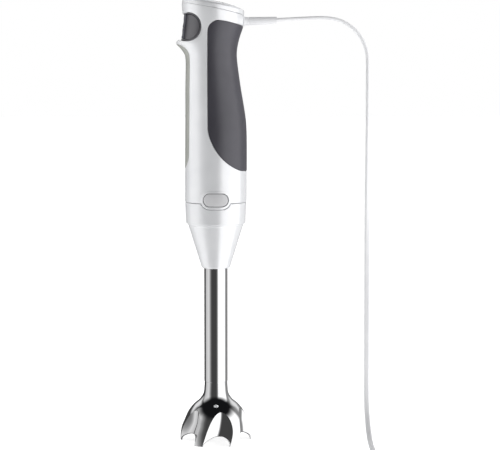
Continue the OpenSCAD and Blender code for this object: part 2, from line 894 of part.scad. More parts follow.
module cooling_fan() {
  color("whitesmoke") difference() {
    union() {
      at_seam(fan_z) cylinder(r = fan_r, h = 1);
      at_seam(fan_z) cylinder(r = 5.2, h = fan_h);
      for (i = [0:vanes - 1]) at_seam(fan_z) rotate([0, 0, 360 * i / vanes])
        translate([4.6, -0.5, 0]) cube([fan_r - 5.4, 1, fan_h]);
    }
    at_seam(fan_z - 1) cylinder(r = shaft_r, h = fan_h + 2);
  }
}

module brush_holders() {
  color("tan") for (side = [-1, 1]) at_seam(brush_z) difference() {
    translate([-3.6, side > 0 ? 9 : -17.5, -3.6]) cube([7.2, 8.5, 12.1]);
    translate([-2.5, side > 0 ? 8 : -16.5, -2.5]) cube([5, 8.5, 5]);
  }
}

module carbon_brushes() {
  color("black") for (side = [-1, 1]) at_seam(brush_z)
    translate([-2.4, side > 0 ? 8.35 : -16.35, -2.4]) cube([4.8, 8, 4.8]);
}

module motor_dampers() {
  color("black") {
    at_seam(99.1) ring(13.4, bearing_r + 2.5, 4);
    at_seam(stator_low + 6) ring(stator_r + 0.9, stator_r, 12);
  }
}

// ---- Cord ----

// Places children on the strain relief's axis, along +Z from its root in the wall
module at_relief(x) {
  at_seam(relief_h) translate([relief_x, 0, 0]) rotate([0, 90 - relief_tilt, 0])
    translate([0, 0, x]) children();
}

module strain_relief() {
  color("lightgray") {
    at_relief(-5.6) cylinder(r = relief_root_r + 0.7, h = 1.6);
    at_relief(-4.1) cylinder(r = relief_root_r, h = 4.2);
    at_relief(0) cylinder(r1 = relief_root_r, r2 = relief_tip_r, h = relief_len);
  }
}

module power_cord() {
  color("lightgray") {
    skin(route_rings(cord_route));
    skin(route_rings(tail_route));
  }
}

module cord_coil() {
  color("lightgray") translate([coil_x, coil_y, 0]) ring(coil_out, coil_in, coil_h);
}

// Places children at the cord's end, with +X running on into the plug
module at_plug() {
  translate([plug_x, plug_y, plug_t / 2]) rotate([0, 0, plug_turn]) children();
}

module plug_body() {
  neck_half = 5;
  color("whitesmoke") at_plug() {
    rotate([0, 90, 0]) cylinder(r1 = 3.2, r2 = 4.4, h = plug_neck + 0.1);
    translate([plug_neck, 0, -plug_t / 2]) linear_extrude(plug_t)
      polygon([[0, -neck_half], [4, -neck_half - 2], [12, -neck_half - 3], [19, -plug_half_w + 1],
        [22, -plug_half_w], [plug_len - 3, -plug_half_w + 1.6], [plug_len, -plug_half_w + 5],
        [plug_len, plug_half_w - 5], [plug_len - 3, plug_half_w - 1.6], [22, plug_half_w],
        [19, plug_half_w - 1], [12, neck_half + 3], [4, neck_half + 2], [0, neck_half]]);
  }
}

module plug_pins() {
  color("silver") at_plug() for (side = [-1, 1])
    translate([plug_neck + plug_len, side * pin_apart / 2, 0]) rotate([0, 90, 0]) {
      cylinder(r = pin_r, h = pin_len - 1);
      translate([0, 0, pin_len - 1]) cylinder(r1 = pin_r, r2 = pin_r - 0.8, h = 1);
    }
}

bell();
shaft_tube();
foot_housing();
foot_spigot();
bell_boss();
lower_bush();
shaft_seal();
upper_bush();
drive_shaft();
driven_coupling();
blade();
blade_hub();
blade_nut();
left_shell();
right_shell();
front_trim();
rear_grip();
coupling_socket();
top_deck();
switch_bezel();
switch_frame();
power_button();
turbo_button();
power_spring();
turbo_spring();
release_button_left();
release_button_right();
release_springs_left();
release_springs_right();
speed_dial();
dial_spindle();
potentiometer();
control_board();
microswitches();
capacitor();
triac();
lower_bracket();
upper_bracket();
lower_bearing();
upper_bearing();
stator_stack();
field_coils();
brush_holders();
carbon_brushes();
motor_dampers();
motor_shaft();
armature_core();
armature_winding();
commutator();
cooling_fan();
drive_coupling();
lead_wires();
cable_clamp();
housing_screws();
strain_relief();
power_cord();
cord_coil();
plug_body();
plug_pins();
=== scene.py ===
import json
import math

import bpy
import numpy as np
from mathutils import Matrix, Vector
from mathutils.geometry import delaunay_2d_cdt


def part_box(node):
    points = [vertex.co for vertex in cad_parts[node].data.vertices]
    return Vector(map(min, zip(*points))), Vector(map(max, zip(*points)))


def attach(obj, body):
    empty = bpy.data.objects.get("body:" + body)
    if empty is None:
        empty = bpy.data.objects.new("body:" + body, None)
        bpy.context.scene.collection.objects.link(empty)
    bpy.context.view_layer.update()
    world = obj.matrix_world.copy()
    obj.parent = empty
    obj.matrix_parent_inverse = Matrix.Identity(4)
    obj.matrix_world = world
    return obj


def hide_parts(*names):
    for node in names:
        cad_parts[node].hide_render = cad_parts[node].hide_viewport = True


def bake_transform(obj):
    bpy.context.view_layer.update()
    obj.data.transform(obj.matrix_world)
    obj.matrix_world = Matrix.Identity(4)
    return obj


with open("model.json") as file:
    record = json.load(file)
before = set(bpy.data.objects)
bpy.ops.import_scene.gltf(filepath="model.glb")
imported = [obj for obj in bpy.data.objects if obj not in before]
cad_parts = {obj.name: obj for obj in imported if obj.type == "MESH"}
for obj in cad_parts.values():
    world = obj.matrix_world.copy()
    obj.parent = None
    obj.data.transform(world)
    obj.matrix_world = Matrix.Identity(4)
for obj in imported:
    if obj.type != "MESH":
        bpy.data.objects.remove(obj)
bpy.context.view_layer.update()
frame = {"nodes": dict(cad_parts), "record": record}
scene = bpy.context.scene

# ---- Sizes, in millimetres. Heights named H are above the seam between foot and handle ----

MM = 0.001


def span(node):
    """Lowest and highest corner of a CAD node, in millimetres."""
    low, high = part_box(node)
    return np.array(low) / MM, np.array(high) / MM


SEAM_GAP = 0.4
SEAM = span("foot_housing")[1][2] + SEAM_GAP
HANDLE_R = span("foot_housing")[1][0] + 0.2
BELL_R = span("bell")[1][0]
BELL_H = span("bell")[1][2]
BELL_WALL = 1.4
TUBE_R = span("shaft_tube")[1][0]
DIAL_R = 28.2
REST_OUT = 8.0

# Height, then what front, back and half width differ by from the radius at the seam
BODY_LINE = [
    [0, 0, 0, 0], [28, -0.1, 0.2, -0.1], [55, -0.3, 0.2, -0.4], [70, -0.4, -0.3, -0.8],
    [83, -0.5, -2, -1.4], [100, -0.5, -4.9, -2.4], [116, -0.8, -7.2, -3.1],
    [128, -0.9, -8.6, -3.2], [135, -0.6, -8.6, -2.9], [147, 0.3, -6.1, -1.6],
    [157, 1.2, -2.6, -0.2], [166, 1.9, -2.4, 0.6], [182, 3, -2.4, 0.9],
]
REST_LINE = [[122, 0], [127, 0.02], [131.3, 0.1], [137, 0.55], [141, 1], [143.5, 0.85],
             [146.5, 0.2], [150, 0]]
BODY_BLUR, REST_BLUR = 3.0, 0.7
ROUND = 26.0  # millimetres of the unrolled sheet for each radian round the handle

DIAL_X, DIAL_H, DIAL_TILT = -2.5, 171.1, 11.2
DIAL_SIDE, DIAL_CROWN = 5.0, 3.0
GRIP_DEPTH, TRIM_DEPTH, SHELL_T = 1.7, 1.2, 3.0
WALL_T, INLAY_GAP, INLAY_LAP = 1.8, 0.12, 1.2
TRIM_HALF, TRIM_LOW, TRIM_TOP, TRIM_ARCH = 13.0, 30.0, 140.5, 6.5
SWITCH_X, SWITCH_H, BEZEL_R, BEZEL_IN = -25.1, 154.9, 12.5, 11.35
FACE_X, FACE_TILT, FACE_R = -2.5, 6.7, 26.0
KEY_W, KEY_H, KEY_MID = 20.0, 9.4, 5.2
KEY_OUT, KEY_GAP = 0.7, 0.45
RELEASE_H, RELEASE_W, RELEASE_T = 3.0, 21.8, 11.3
LOBE_W, LOBE_T, RELEASE_GAP = 27.0, 16.4, 0.35

# Bell outline from the rim up: height, and radius less than at the rim
BELL_LINE = [[0, 0], [5, 0.1], [11.7, 1.2], [18, 3.7], [25.4, 7.2], [31.2, 11.7],
             [36, 17.2], [41.6, 20.7], [47, 21.5], [BELL_H, 21.8]]
NICHE_DEG, NICHE_STRAIGHT, NICHE_TOP, NICHE_DEEP, NICHE_RISE = 22.5, 9.0, 29.0, 4.0, 8.0
NICHE_SWIRL = 11.0
ARMS = 6
NICHE_COLS, ARM_COLS, BELL_ROWS, RIM_ROWS = 25, 11, 61, 9
BLADE_AT, BLADE_T = 10.0, 1.2

CORD_W, CORD_T = 5.0, 3.0
CORD_ROUTE = [
    [[55, 0, 376.8], [0, 1, 0]], [[66, 0, 377.4], [0, 1, 0]], [[78, 0, 378.1], [0, 1, 0]],
    [[90, 0, 378.5], [0, 1, 0]], [[98, 0, 378.6], [0, 1, 0]], [[111, 0, 376.3], [0, 1, 0]],
    [[122.4, 0, 369.7], [0, 1, 0]], [[130.9, 0, 359.6], [0, 1, 0]],
    [[135.4, 0, 347.2], [0, 1, 0]], [[136, 0, 334], [0, 1, 0]], [[136, 0, 310], [0, 1, 0]],
    [[136, 0, 280], [0.3, 1, 0]], [[136, 0, 245], [0.7, 0.8, 0]],
    [[136, 0, 205], [0.9, 0.5, 0]], [[136, 0, 160], [1, 0.2, 0]], [[136, 0, 115], [1, 0, 0]],
    [[136, 0, 75], [1, 0, 0]], [[136, 0, 47], [1, 0, 0]], [[136, -3.4, 29.3], [1, 0, 0]],
    [[136, -13.2, 14.7], [1, 0, 0]], [[136, -27.8, 5], [1, 0, 0]],
    [[136, -45, 1.7], [1, 0, 0]], [[136, -62, 1.8], [1, 0, 0.15]],
    [[136, -80, 2.3], [0.7, 0, 0.8]], [[136, -98, 2.6], [0.2, 0, 1]],
    [[136, -119, 2.6], [0, 0, 1]],
]
TAIL_ROUTE = [
    [[104, -151.6, 7.8], [0, 0, 1]], [[92, -151, 7.6], [0, 0.2, 1]],
    [[80, -148.4, 7.2], [0, 0.6, 0.8]], [[70, -144.4, 7], [0, 1, 0.3]],
    [[61, -139.6, 7], [0, 1, 0]],
]
COIL_X, COIL_Y = 104.0, -119.0
COIL_OUT, COIL_IN = 32.0, 24.4
COIL_LOW, COIL_HIGH = 2.6, 7.8
LOWER_TURNS, UPPER_TURNS = 2.0, 2.25
TURN_STEPS, CLIMB_STEPS, CORD_STEP = 60, 14, 2.4
PLUG_X, PLUG_Y, PLUG_TURN = 61.0, -139.6, 152.0
PLUG_T, PLUG_NECK, PLUG_LEN, PLUG_HALF = 13.7, 14.0, 35.0, 17.6
PIN_R, PIN_LEN, PIN_APART = 2.0, 19.0, 18.6
RELIEF_X, RELIEF_H, RELIEF_TILT, RELIEF_LEN = 25.0, 160.8, 2.0, 29.7
RELIEF_ROOT, RELIEF_TIP = 3.8, 3.1

# ---- Camera ----

EYE_DISTANCE, EYE_HEIGHT = 1.1293, 0.301
LOOK_DOWN_DEG, LOOK_RIGHT_DEG = 2.5, 1.555
LENS_MM, SENSOR_MM = 90.94, 36
SHIFT_UP = -0.13  # keeps the object's upright edges parallel in the picture
camera = bpy.data.objects.new("camera", bpy.data.cameras.new("camera"))
scene.collection.objects.link(camera)
camera.location = (0, -EYE_DISTANCE, EYE_HEIGHT)
camera.rotation_euler = (math.radians(90 - LOOK_DOWN_DEG), 0, math.radians(-LOOK_RIGHT_DEG))
camera.data.lens = LENS_MM
camera.data.shift_y = SHIFT_UP
camera.data.sensor_width = SENSOR_MM
camera.data.clip_start = 0.05
scene.camera = camera

# ---- Lines and outlines ----


def unit(v):
    """Vectors scaled to a length of 1."""
    v = np.asarray(v, float)
    return v / np.maximum(np.linalg.norm(v, axis=-1, keepdims=True), 1e-12)


def tilted_y(deg):
    """A turn about the Y axis, as a 3x3 matrix."""
    a = math.radians(deg)
    return np.array([[math.cos(a), 0, math.sin(a)], [0, 1, 0], [-math.sin(a), 0, math.cos(a)]])


def turned_z(deg):
    """A turn about the Z axis, as a 3x3 matrix."""
    a = math.radians(deg)
    return np.array([[math.cos(a), -math.sin(a), 0], [math.sin(a), math.cos(a), 0], [0, 0, 1]])


def smooth_at(line, h, k):
    """Column k of a table at heights h, on a smooth curve through its rows."""
    rows = np.array(line, float)
    at, value = rows[:, 0], rows[:, k]
    i = np.arange(len(at))
    a, b = np.maximum(i - 1, 0), np.minimum(i + 1, len(at) - 1)
    slope = (value[b] - value[a]) / (at[b] - at[a])
    z = np.clip(h, at[0], at[-1])
    j = np.clip(np.searchsorted(at, z, side="right") - 1, 0, len(at) - 2)
    w = at[j + 1] - at[j]
    t = (z - at[j]) / w
    s = 1 - t
    start = value[j] * (1 + 2 * t) * s * s + slope[j] * w * t * s * s
    end = value[j + 1] * (3 - 2 * t) * t * t - slope[j + 1] * w * t * t * s
    return start + end


def soft_at(line, h, k, blur):
    """smooth_at, averaged over a short height so that reflections run without a break."""
    taps = np.linspace(-1.8, 1.8, 9)
    weights = np.exp(-taps * taps / 2)
    values = [w * smooth_at(line, h + t * blur, k) for t, w in zip(taps, weights)]
    return sum(values) / weights.sum()


def curve(points, steps=12):
    """A smooth line through points, with steps pieces between each two."""
    p = np.array(points, float)
    gap = np.linalg.norm(np.diff(p[:, :3], axis=0), axis=1)[:, None]
    slope = np.vstack([(p[1] - p[0]) / gap[0], (p[2:] - p[:-2]) / (gap[1:] + gap[:-1]),
                       (p[-1] - p[-2]) / gap[-1]])
    t = np.linspace(0, 1, steps, endpoint=False)[:, None]
    parts = [
        a * (1 + 2 * t) * (1 - t) ** 2 + b * (3 - 2 * t) * t * t
        + g * (m * t * (1 - t) ** 2 - n * t * t * (1 - t))
        for a, b, m, n, g in zip(p[:-1], p[1:], slope[:-1], slope[1:], gap)
    ]
    return np.vstack([*parts, p[-1:]])


def evenly(points, spacing):
    """The same line with points about spacing apart."""
    p = np.array(points, float)
    along = np.concatenate([[0], np.cumsum(np.linalg.norm(np.diff(p, axis=0), axis=1))])
    n = max(2, int(round(along[-1] / spacing)) + 1)
    at = np.linspace(0, along[-1], n)
    return np.column_stack([np.interp(at, along, p[:, k]) for k in range(p.shape[1])])


def shifted(points, by):
    """A line moved to its left by a distance."""
    p = np.array(points, float)
    d = unit(np.gradient(p, axis=0))
    return p + by * np.column_stack([-d[:, 1], d[:, 0]])


def arc(centre, r, start, end, n=24):
    """n points on a circle between two angles in degrees."""
    a = np.radians(np.linspace(start, end, n))
    return np.column_stack([centre[0] + r * np.cos(a), centre[1] + r * np.sin(a)])


def stadium(w, h, middle):
    """A slot's outline in x and height, counter-clockwise from its lower left."""
    r, half = h / 2, (w - h) / 2
    left = arc((-half, middle), r, 90, 270, 30)
    right = arc((half, middle), r, -90, 90, 30)
    return np.vstack([right, left])


# ---- Surfaces: functions from points of a flat sheet, in millimetres, to points in space ----


def handle_sizes(h):
    """Front, back and half width of the handle at heights h, and how far its finger rest stands out."""
    front = HANDLE_R + soft_at(BODY_LINE, h, 1, BODY_BLUR)
    back = HANDLE_R + soft_at(BODY_LINE, h, 2, BODY_BLUR)
    half = HANDLE_R + soft_at(BODY_LINE, h, 3, BODY_BLUR)
    return front, back, half, REST_OUT * soft_at(REST_LINE, h, 1, REST_BLUR)


def handle(uv):
    """The handle's outside. The sheet's width runs from the front, round the left side, to the back."""
    a, h = uv[:, 0] / ROUND, uv[:, 1]
    front, back, half, rest = handle_sizes(h)
    forward = np.maximum(0, -np.cos(a))
    x = (back - front) / 2 + (back + front) / 2 * np.cos(a) - rest * forward ** 2
    return np.column_stack([x, half * np.sin(a), SEAM + h])


def on_side(points):
    """Places of the sheet for points given as x and height, as seen from the left side."""
    x, h = np.array(points, float).T
    front, back, _, rest = handle_sizes(h)
    centre, wide = (back - front) / 2, (back + front) / 2
    off = x - centre
    with_rest = (wide - np.sqrt(np.maximum(0, wide ** 2 - 4 * rest * off))) / np.maximum(2 * rest, 1e-9)
    cos = np.where((off < 0) & (rest > 1e-3), with_rest, off / wide)
    return np.column_stack([-ROUND * np.arccos(np.clip(cos, -1, 1)), h])


def on_front(points):
    """Places of the sheet for points given as distance from the middle and height, from the front."""
    y, h = np.array(points, float).T
    half = handle_sizes(h)[2]
    return np.column_stack([ROUND * (np.arcsin(np.clip(y / half, -1, 1)) - math.pi), h])


FRONT, BACK = -ROUND * math.pi, 0.0


def switch_face(grow):
    """The leaning round front of the switch, moved outwards by grow."""
    r = FACE_R + grow
    tilt = math.radians(FACE_TILT)

    def surface(uv):
        a, t = uv[:, 0] / FACE_R, uv[:, 1]
        x, y = -r * np.cos(a), -r * np.sin(a)
        return np.column_stack([FACE_X + x * math.cos(tilt) + t * math.sin(tilt), y,
                                SEAM + SWITCH_H - x * math.sin(tilt) + t * math.cos(tilt)])

    return surface


# ---- Shapes: points, faces and the direction of each face's corners ----


class Shape:
    """A mesh in the making, in millimetres."""

    def __init__(self):
        self.points, self.faces, self.normals = [], [], []
        self.count = 0

    def add(self, points, faces, normals):
        """faces index points; normals has one direction for each corner of each face."""
        self.points.append(np.asarray(points, float))
        self.faces += [tuple(int(i) + self.count for i in f) for f in faces]
        self.normals += [np.asarray(n, float) for n in normals]
        self.count += len(points)

    def add_smooth(self, points, faces, directions):
        """The same with one direction for each point."""
        self.add(points, faces, [directions[list(f)] for f in faces])

    def reflected(self, axis=1):
        """The reflection across one axis: by default, the same piece on the other side."""
        made, flip = Shape(), np.ones(3)
        flip[axis] = -1
        made.add(np.vstack(self.points) * flip, [f[::-1] for f in self.faces],
                 [n[::-1] * flip for n in self.normals])
        return made

    def mirrored(self):
        """The shape together with its reflection on the other side."""
        return self.join(self.reflected())

    def moved(self, turn, to=(0, 0, 0)):
        """Turned by a 3x3 matrix, then moved."""
        made, turn = Shape(), np.array(turn, float)
        made.add(np.vstack(self.points) @ turn.T + np.array(to), self.faces,
                 [n @ turn.T for n in self.normals])
        return made

    def join(self, other):
        """Takes in another shape."""
        self.add(np.vstack(other.points), other.faces, other.normals)
        return self

    def build(self, name):
        """The Blender object, with equal points joined."""
        points = np.vstack(self.points)
        keys = np.round(points * 1000).astype(np.int64)
        _, first, same = np.unique(keys, axis=0, return_index=True, return_inverse=True)
        same = same.reshape(-1)
        faces, normals = [], []
        for face, corner in zip(self.faces, self.normals):
            ids = [int(same[i]) for i in face]
            keep = [k for k in range(len(ids)) if ids[k] != ids[k - 1]]
            if len({ids[k] for k in keep}) >= 3 and len({ids[k] for k in keep}) == len(keep):
                faces.append([ids[k] for k in keep])
                normals.append(unit(corner[keep]))
        mesh = bpy.data.meshes.new(name)
        mesh.from_pydata((points[first] * MM).tolist(), [], faces)
        mesh.shade_smooth()
        mesh.normals_split_custom_set(np.vstack(normals).tolist())
        mesh.validate(verbose=False)
        obj = bpy.data.objects.new(name, mesh)
        scene.collection.objects.link(obj)
        return obj


def crossings(points, loops):
    """True for each point inside the outlines, counted evenly and oddly."""
    inside = np.zeros(len(points), bool)
    px, py = points[:, :1], points[:, 1:]
    for loop in loops:
        a, b = loop, np.roll(loop, -1, axis=0)
        rises = (a[:, 1] > py) != (b[:, 1] > py)
        with np.errstate(divide="ignore", invalid="ignore"):
            x = a[:, 0] + (py - a[:, 1]) * (b[:, 0] - a[:, 0]) / (b[:, 1] - a[:, 1])
        inside ^= (np.sum(rises & (px < x), axis=1) % 2).astype(bool)
    return inside


def distance(points, loops):
    """Distance of each point from the nearest outline."""
    least = np.full(len(points), 1e9)
    for loop in loops:
        a = loop
        ab = np.roll(loop, -1, axis=0) - a
        size = np.maximum((ab ** 2).sum(1), 1e-12)
        for i in range(0, len(points), 2000):
            ap = points[i:i + 2000, None] - a
            t = np.clip((ap * ab).sum(2) / size, 0, 1)
            d = np.sqrt(((ap - t[:, :, None] * ab) ** 2).sum(2)).min(1)
            least[i:i + 2000] = np.minimum(least[i:i + 2000], d)
    return least


def fill(loops, spacing):
    """Triangles over the area inside some outlines, with points on a grid."""
    low, high = np.vstack(loops).min(0), np.vstack(loops).max(0)
    rows = np.arange(low[1], high[1], spacing * 0.866)
    cols = np.arange(low[0], high[0], spacing)
    grid = np.array([[x + (k % 2) * spacing / 2, y] for k, y in enumerate(rows) for x in cols])
    grid = grid.reshape(-1, 2)
    grid = grid[crossings(grid, loops)]
    grid = grid[distance(grid, loops) > 0.6 * spacing]
    points, edges = [], []
    for loop in loops:
        n, start = len(loop), len(points)
        points += loop.tolist()
        edges += [(start + i, start + (i + 1) % n) for i in range(n)]
    points += grid.tolist()
    made = delaunay_2d_cdt([Vector(p) for p in points], edges, [], 0, 1e-5)
    uv = np.array([points[o[0]] if o else list(p) for p, o in zip(made[0], made[3])])
    triangles = np.array(made[2])
    return uv, triangles[crossings(uv[triangles].mean(1), loops)]


def directions(surface, uv, step=0.2):
    """Unit outward direction of a surface, and its two slopes, at points of the sheet."""
    du, dv = np.array([step, 0]), np.array([0, step])
    along_u = (surface(uv + du) - surface(uv - du)) / (2 * step)
    along_v = (surface(uv + dv) - surface(uv - dv)) / (2 * step)
    return unit(np.cross(along_u, along_v)), along_u, along_v


BEND_DEG = (0, 15, 30, 45, 60, 75, 90)


def plate(surface, loops, edge, thick, grid, lift=0.0, bottom=True):
    """A closed plate that follows a surface, with its upper edges rounded by edge.

    Each loop is a list of runs (points, share): share is the part of the rounding that its
    edge gets, and 0 leaves it open, to be joined to the plate's mirror image. The upper side
    stands lift above the surface, and the lower side lies thick below it.
    """
    shape = Shape()
    last, outer = [], []

    def place(uv, depth):
        return surface(uv) + directions(surface, uv)[0] * (lift - depth)[:, None]

    def place_under(uv):
        return surface(uv) - directions(surface, uv)[0] * thick

    for loop in loops:
        points = np.vstack([run[:-1] for run, _ in loop])
        share = np.concatenate([[s] * (len(run) - 1) for run, s in loop]).astype(float)
        ahead = unit(np.roll(points, -1, axis=0) - points)
        right_n = np.column_stack([-ahead[:, 1], ahead[:, 0]])
        left_n, left_s = np.roll(right_n, 1, axis=0), np.roll(share, 1)
        det = left_n[:, 0] * right_n[:, 1] - left_n[:, 1] * right_n[:, 0]
        bent = np.abs(det) >= 0.08
        safe = np.where(bent, det, 1)
        corner = np.column_stack([
            (left_s * right_n[:, 1] - share * left_n[:, 1]) / safe,
            (share * left_n[:, 0] - left_s * right_n[:, 0]) / safe,
        ])
        straight = unit(left_n + right_n) * np.maximum(share, left_s)[:, None]
        inwards = np.where(bent[:, None], corner, straight)
        depth_share = np.where((share == 0) | (left_s == 0), np.maximum(share, left_s),
                               (share + left_s) / 2)
        n = len(points)
        closed = share > 0
        rows, corners = [], []
        for deg in BEND_DEG:
            c, s = math.cos(math.radians(deg)), math.sin(math.radians(deg))
            uv = points + inwards * edge * (1 - c)
            up, du, dv = directions(surface, uv)
            out = -(du * inwards[:, :1] + dv * inwards[:, 1:])
            out = unit(out - up * (out * up).sum(1)[:, None])
            rows.append(place(uv, depth_share * edge * (1 - s)))
            corners.append(unit(up * s + out * c))
        for k in range(len(BEND_DEG) - 1):
            both = np.vstack([rows[k], rows[k + 1]])
            dirs = np.vstack([corners[k], corners[k + 1]])
            faces = [(i, (i + 1) % n, (i + 1) % n + n, i + n) for i in range(n) if closed[i]]
            shape.add_smooth(both, faces, dirs)
        foot = place_under(points)
        both, dirs = np.vstack([rows[0], foot]), np.vstack([corners[0], corners[0]])
        faces = [(i, i + n, (i + 1) % n + n, (i + 1) % n) for i in range(n) if closed[i]]
        shape.add_smooth(both, faces, dirs)
        last.append(points + inwards * edge)
        outer.append(points)
    uv, triangles = fill(last, grid)
    dirs = directions(surface, uv)[0][triangles]
    shape.add(place(uv, np.zeros(len(uv))), triangles, dirs)
    if bottom:
        uv, triangles = fill(outer, 2 * grid)
        dirs = -directions(surface, uv)[0][triangles]
        shape.add(place_under(uv), triangles[:, ::-1], dirs[:, ::-1])
    return shape


SHARP = 0.04  # rounding of a corner that is drawn sharp


def rounded(corners, closed=True, step=12.0):
    """Points and outward directions along an outline.

    The outline runs counter-clockwise, and its corners are (x, y, radius).
    """
    c = np.array(corners, float)
    n = len(c)
    points, normals = [], []
    for i in range(n):
        p, r = c[i, :2], max(c[i, 2], SHARP)
        ends = not closed and i in (0, n - 1)
        d1 = unit(p - c[i - 1, :2]) if (closed or i) else unit(c[1, :2] - p)
        d2 = unit(c[(i + 1) % n, :2] - p) if (closed or i < n - 1) else d1
        n1, n2 = np.array([d1[1], -d1[0]]), np.array([d2[1], -d2[0]])
        turn = math.atan2(d1[0] * d2[1] - d1[1] * d2[0], float(d1 @ d2))
        if ends or abs(turn) < 1e-3:
            points.append(p)
            normals.append(unit(n1 + n2))
            continue
        room = 0.49 * min(np.linalg.norm(p - c[i - 1, :2]), np.linalg.norm(c[(i + 1) % n, :2] - p))
        back = min(r * math.tan(abs(turn) / 2), room)
        r = back / math.tan(abs(turn) / 2)
        side = 1 if turn > 0 else -1
        centre = p - d1 * back - n1 * r * side
        for t in np.linspace(0, 1, max(3, int(abs(math.degrees(turn)) / step) + 2)):
            a = turn * t
            m = np.array([n1[0] * math.cos(a) - n1[1] * math.sin(a),
                          n1[0] * math.sin(a) + n1[1] * math.cos(a)])
            points.append(centre + m * r * side)
            normals.append(m)
    return np.array(points), np.array(normals)


def lathe(corners, sides=128, closed=True):
    """A turned shape about +Z from an outline of (radius, height, rounding), counter-clockwise."""
    line, dirs = rounded(corners, closed)
    a = np.linspace(0, 2 * math.pi, sides, endpoint=False)
    cos, sin = np.cos(a), np.sin(a)
    shape, n = Shape(), len(line)

    def swept(v):
        return np.stack([v[:, 0:1] * cos, v[:, 0:1] * sin, np.repeat(v[:, 1:2], sides, 1)], 2)

    points, normals = swept(line).reshape(-1, 3), swept(dirs).reshape(-1, 3)
    faces = []
    for i in range(n if closed else n - 1):
        k = (i + 1) % n
        if line[i, 0] < 1e-6 and line[k, 0] < 1e-6:
            continue
        for j in range(sides):
            m = (j + 1) % sides
            faces.append((i * sides + j, i * sides + m, k * sides + m, k * sides + j))
    shape.add_smooth(points, faces, normals)
    return shape


def sweep(path, wide, section, section_dirs):
    """A closed tube whose flat outline follows a path; wide is the way its first axis faces."""
    p = np.array(path, float)
    ahead = unit(np.gradient(p, axis=0))
    across = unit(wide - (wide * ahead).sum(1)[:, None] * ahead)
    thin = np.cross(ahead, across)
    n, m = len(section), len(p)
    points = (p[:, None] + across[:, None] * section[None, :, :1]
              + thin[:, None] * section[None, :, 1:]).reshape(-1, 3)
    dirs = unit(across[:, None] * section_dirs[None, :, :1]
                + thin[:, None] * section_dirs[None, :, 1:]).reshape(-1, 3)
    faces = [(i * n + j, i * n + (j + 1) % n, (i + 1) * n + (j + 1) % n, (i + 1) * n + j)
             for i in range(m - 1) for j in range(n)]
    shape = Shape()
    shape.add_smooth(points, faces, dirs)
    ends = [tuple(range(n))[::-1], tuple((m - 1) * n + j for j in range(n))]
    shape.add(points, ends, [np.repeat(-ahead[:1], n, 0), np.repeat(ahead[-1:], n, 0)])
    return shape


# ---- Bell ----


def bell_radius(z):
    """The bell's outer radius at a height, over its arms."""
    return BELL_R - smooth_at(BELL_LINE, z, 1)


def niche_half(z):
    """Half the angle that a niche takes up at a height, in degrees."""
    t = np.clip((z - NICHE_STRAIGHT) / (NICHE_TOP - NICHE_STRAIGHT), 0, 1)
    return np.maximum(0.4, NICHE_DEG * np.sqrt(1 - t ** 2.6))


def bell_place(sector, part, inwards):
    """A function from (side, rise) to the bell's surface, for a niche or for the arm beside it."""

    def place(side, rise):
        across = np.sin(side * math.pi / 2)
        low = BELL_WALL / 2 + (NICHE_RISE * np.cos(side * math.pi / 2) if part == "niche" else 0)
        z = low + (BELL_H - low) * rise
        half = niche_half(z)
        r = bell_radius(z) - inwards
        if part == "niche":
            a = across * half
            deep = NICHE_DEEP * (half / NICHE_DEG) ** 2
            r = r * np.cos(np.radians(half)) / np.cos(np.radians(a)) - deep * (1 - across ** 2)
        else:
            a = half + (60 - 2 * half) * (side + 1) / 2
        swirl = NICHE_SWIRL * np.sin(math.pi / 2 * np.minimum(1, z / NICHE_TOP))
        turn = np.radians(sector * 360 / ARMS + 30 + swirl + a)
        return np.stack([r * np.cos(turn), r * np.sin(turn), z], -1)

    return place


def bell_patch(shape, sector, part):
    """One niche or one arm of the bell: outside, inside, and the rounded rim between them."""
    across = NICHE_COLS if part == "niche" else ARM_COLS
    side, rise = np.meshgrid(np.linspace(-1, 1, across), np.linspace(0, 1, BELL_ROWS))
    grids, dirs = [], []
    for inwards in (0, BELL_WALL):
        place = bell_place(sector, part, inwards)
        s, q = np.clip(side, -0.97, 0.97), np.clip(rise, 0.002, 0.998)
        step = 0.002
        along = place(s + step, q) - place(s - step, q)
        up = place(s, q + step) - place(s, q - step)
        grids.append(place(side, rise))
        dirs.append(unit(np.cross(along, up)) * (1 if inwards == 0 else -1))
    n, m = side.shape
    for points, normal, outside in zip(grids, dirs, (True, False)):
        points, normal = points.reshape(-1, 3), normal.reshape(-1, 3)
        faces = [(i * m + j, i * m + j + 1, (i + 1) * m + j + 1, (i + 1) * m + j)
                 for i in range(n - 1) for j in range(m - 1)]
        faces = faces if outside else [f[::-1] for f in faces]
        shape.add_smooth(points, faces, normal)
    out, back = grids[0][0], grids[1][0]
    middle, half = (out + back) / 2, (out - back) / 2
    down = -unit(grids[0][1] - grids[0][0]) * np.linalg.norm(half, axis=1)[:, None]
    turns = np.linspace(0, math.pi, RIM_ROWS)
    rows = [middle + half * math.cos(t) + down * math.sin(t) for t in turns]
    bends = [unit(half) * math.cos(t) + unit(down) * math.sin(t) for t in turns]
    points, normal = np.vstack(rows), np.vstack(bends)
    faces = [(k * m + j, (k + 1) * m + j, (k + 1) * m + j + 1, k * m + j + 1)
             for k in range(RIM_ROWS - 1) for j in range(m - 1)]
    shape.add_smooth(points, faces, normal)
    top = np.vstack([grids[0][-1], grids[1][-1]])
    faces = [(j, j + 1, m + j + 1, m + j) for j in range(m - 1)]
    shape.add(top, faces, [np.tile([0, 0, 1.0], (4, 1)) for _ in faces])


def bell():
    """The whole bell, out of its arms and the niches between them."""
    shape = Shape()
    for sector in range(ARMS):
        bell_patch(shape, sector, "niche")
        bell_patch(shape, sector, "arm")
    return shape


# ---- Foot ----


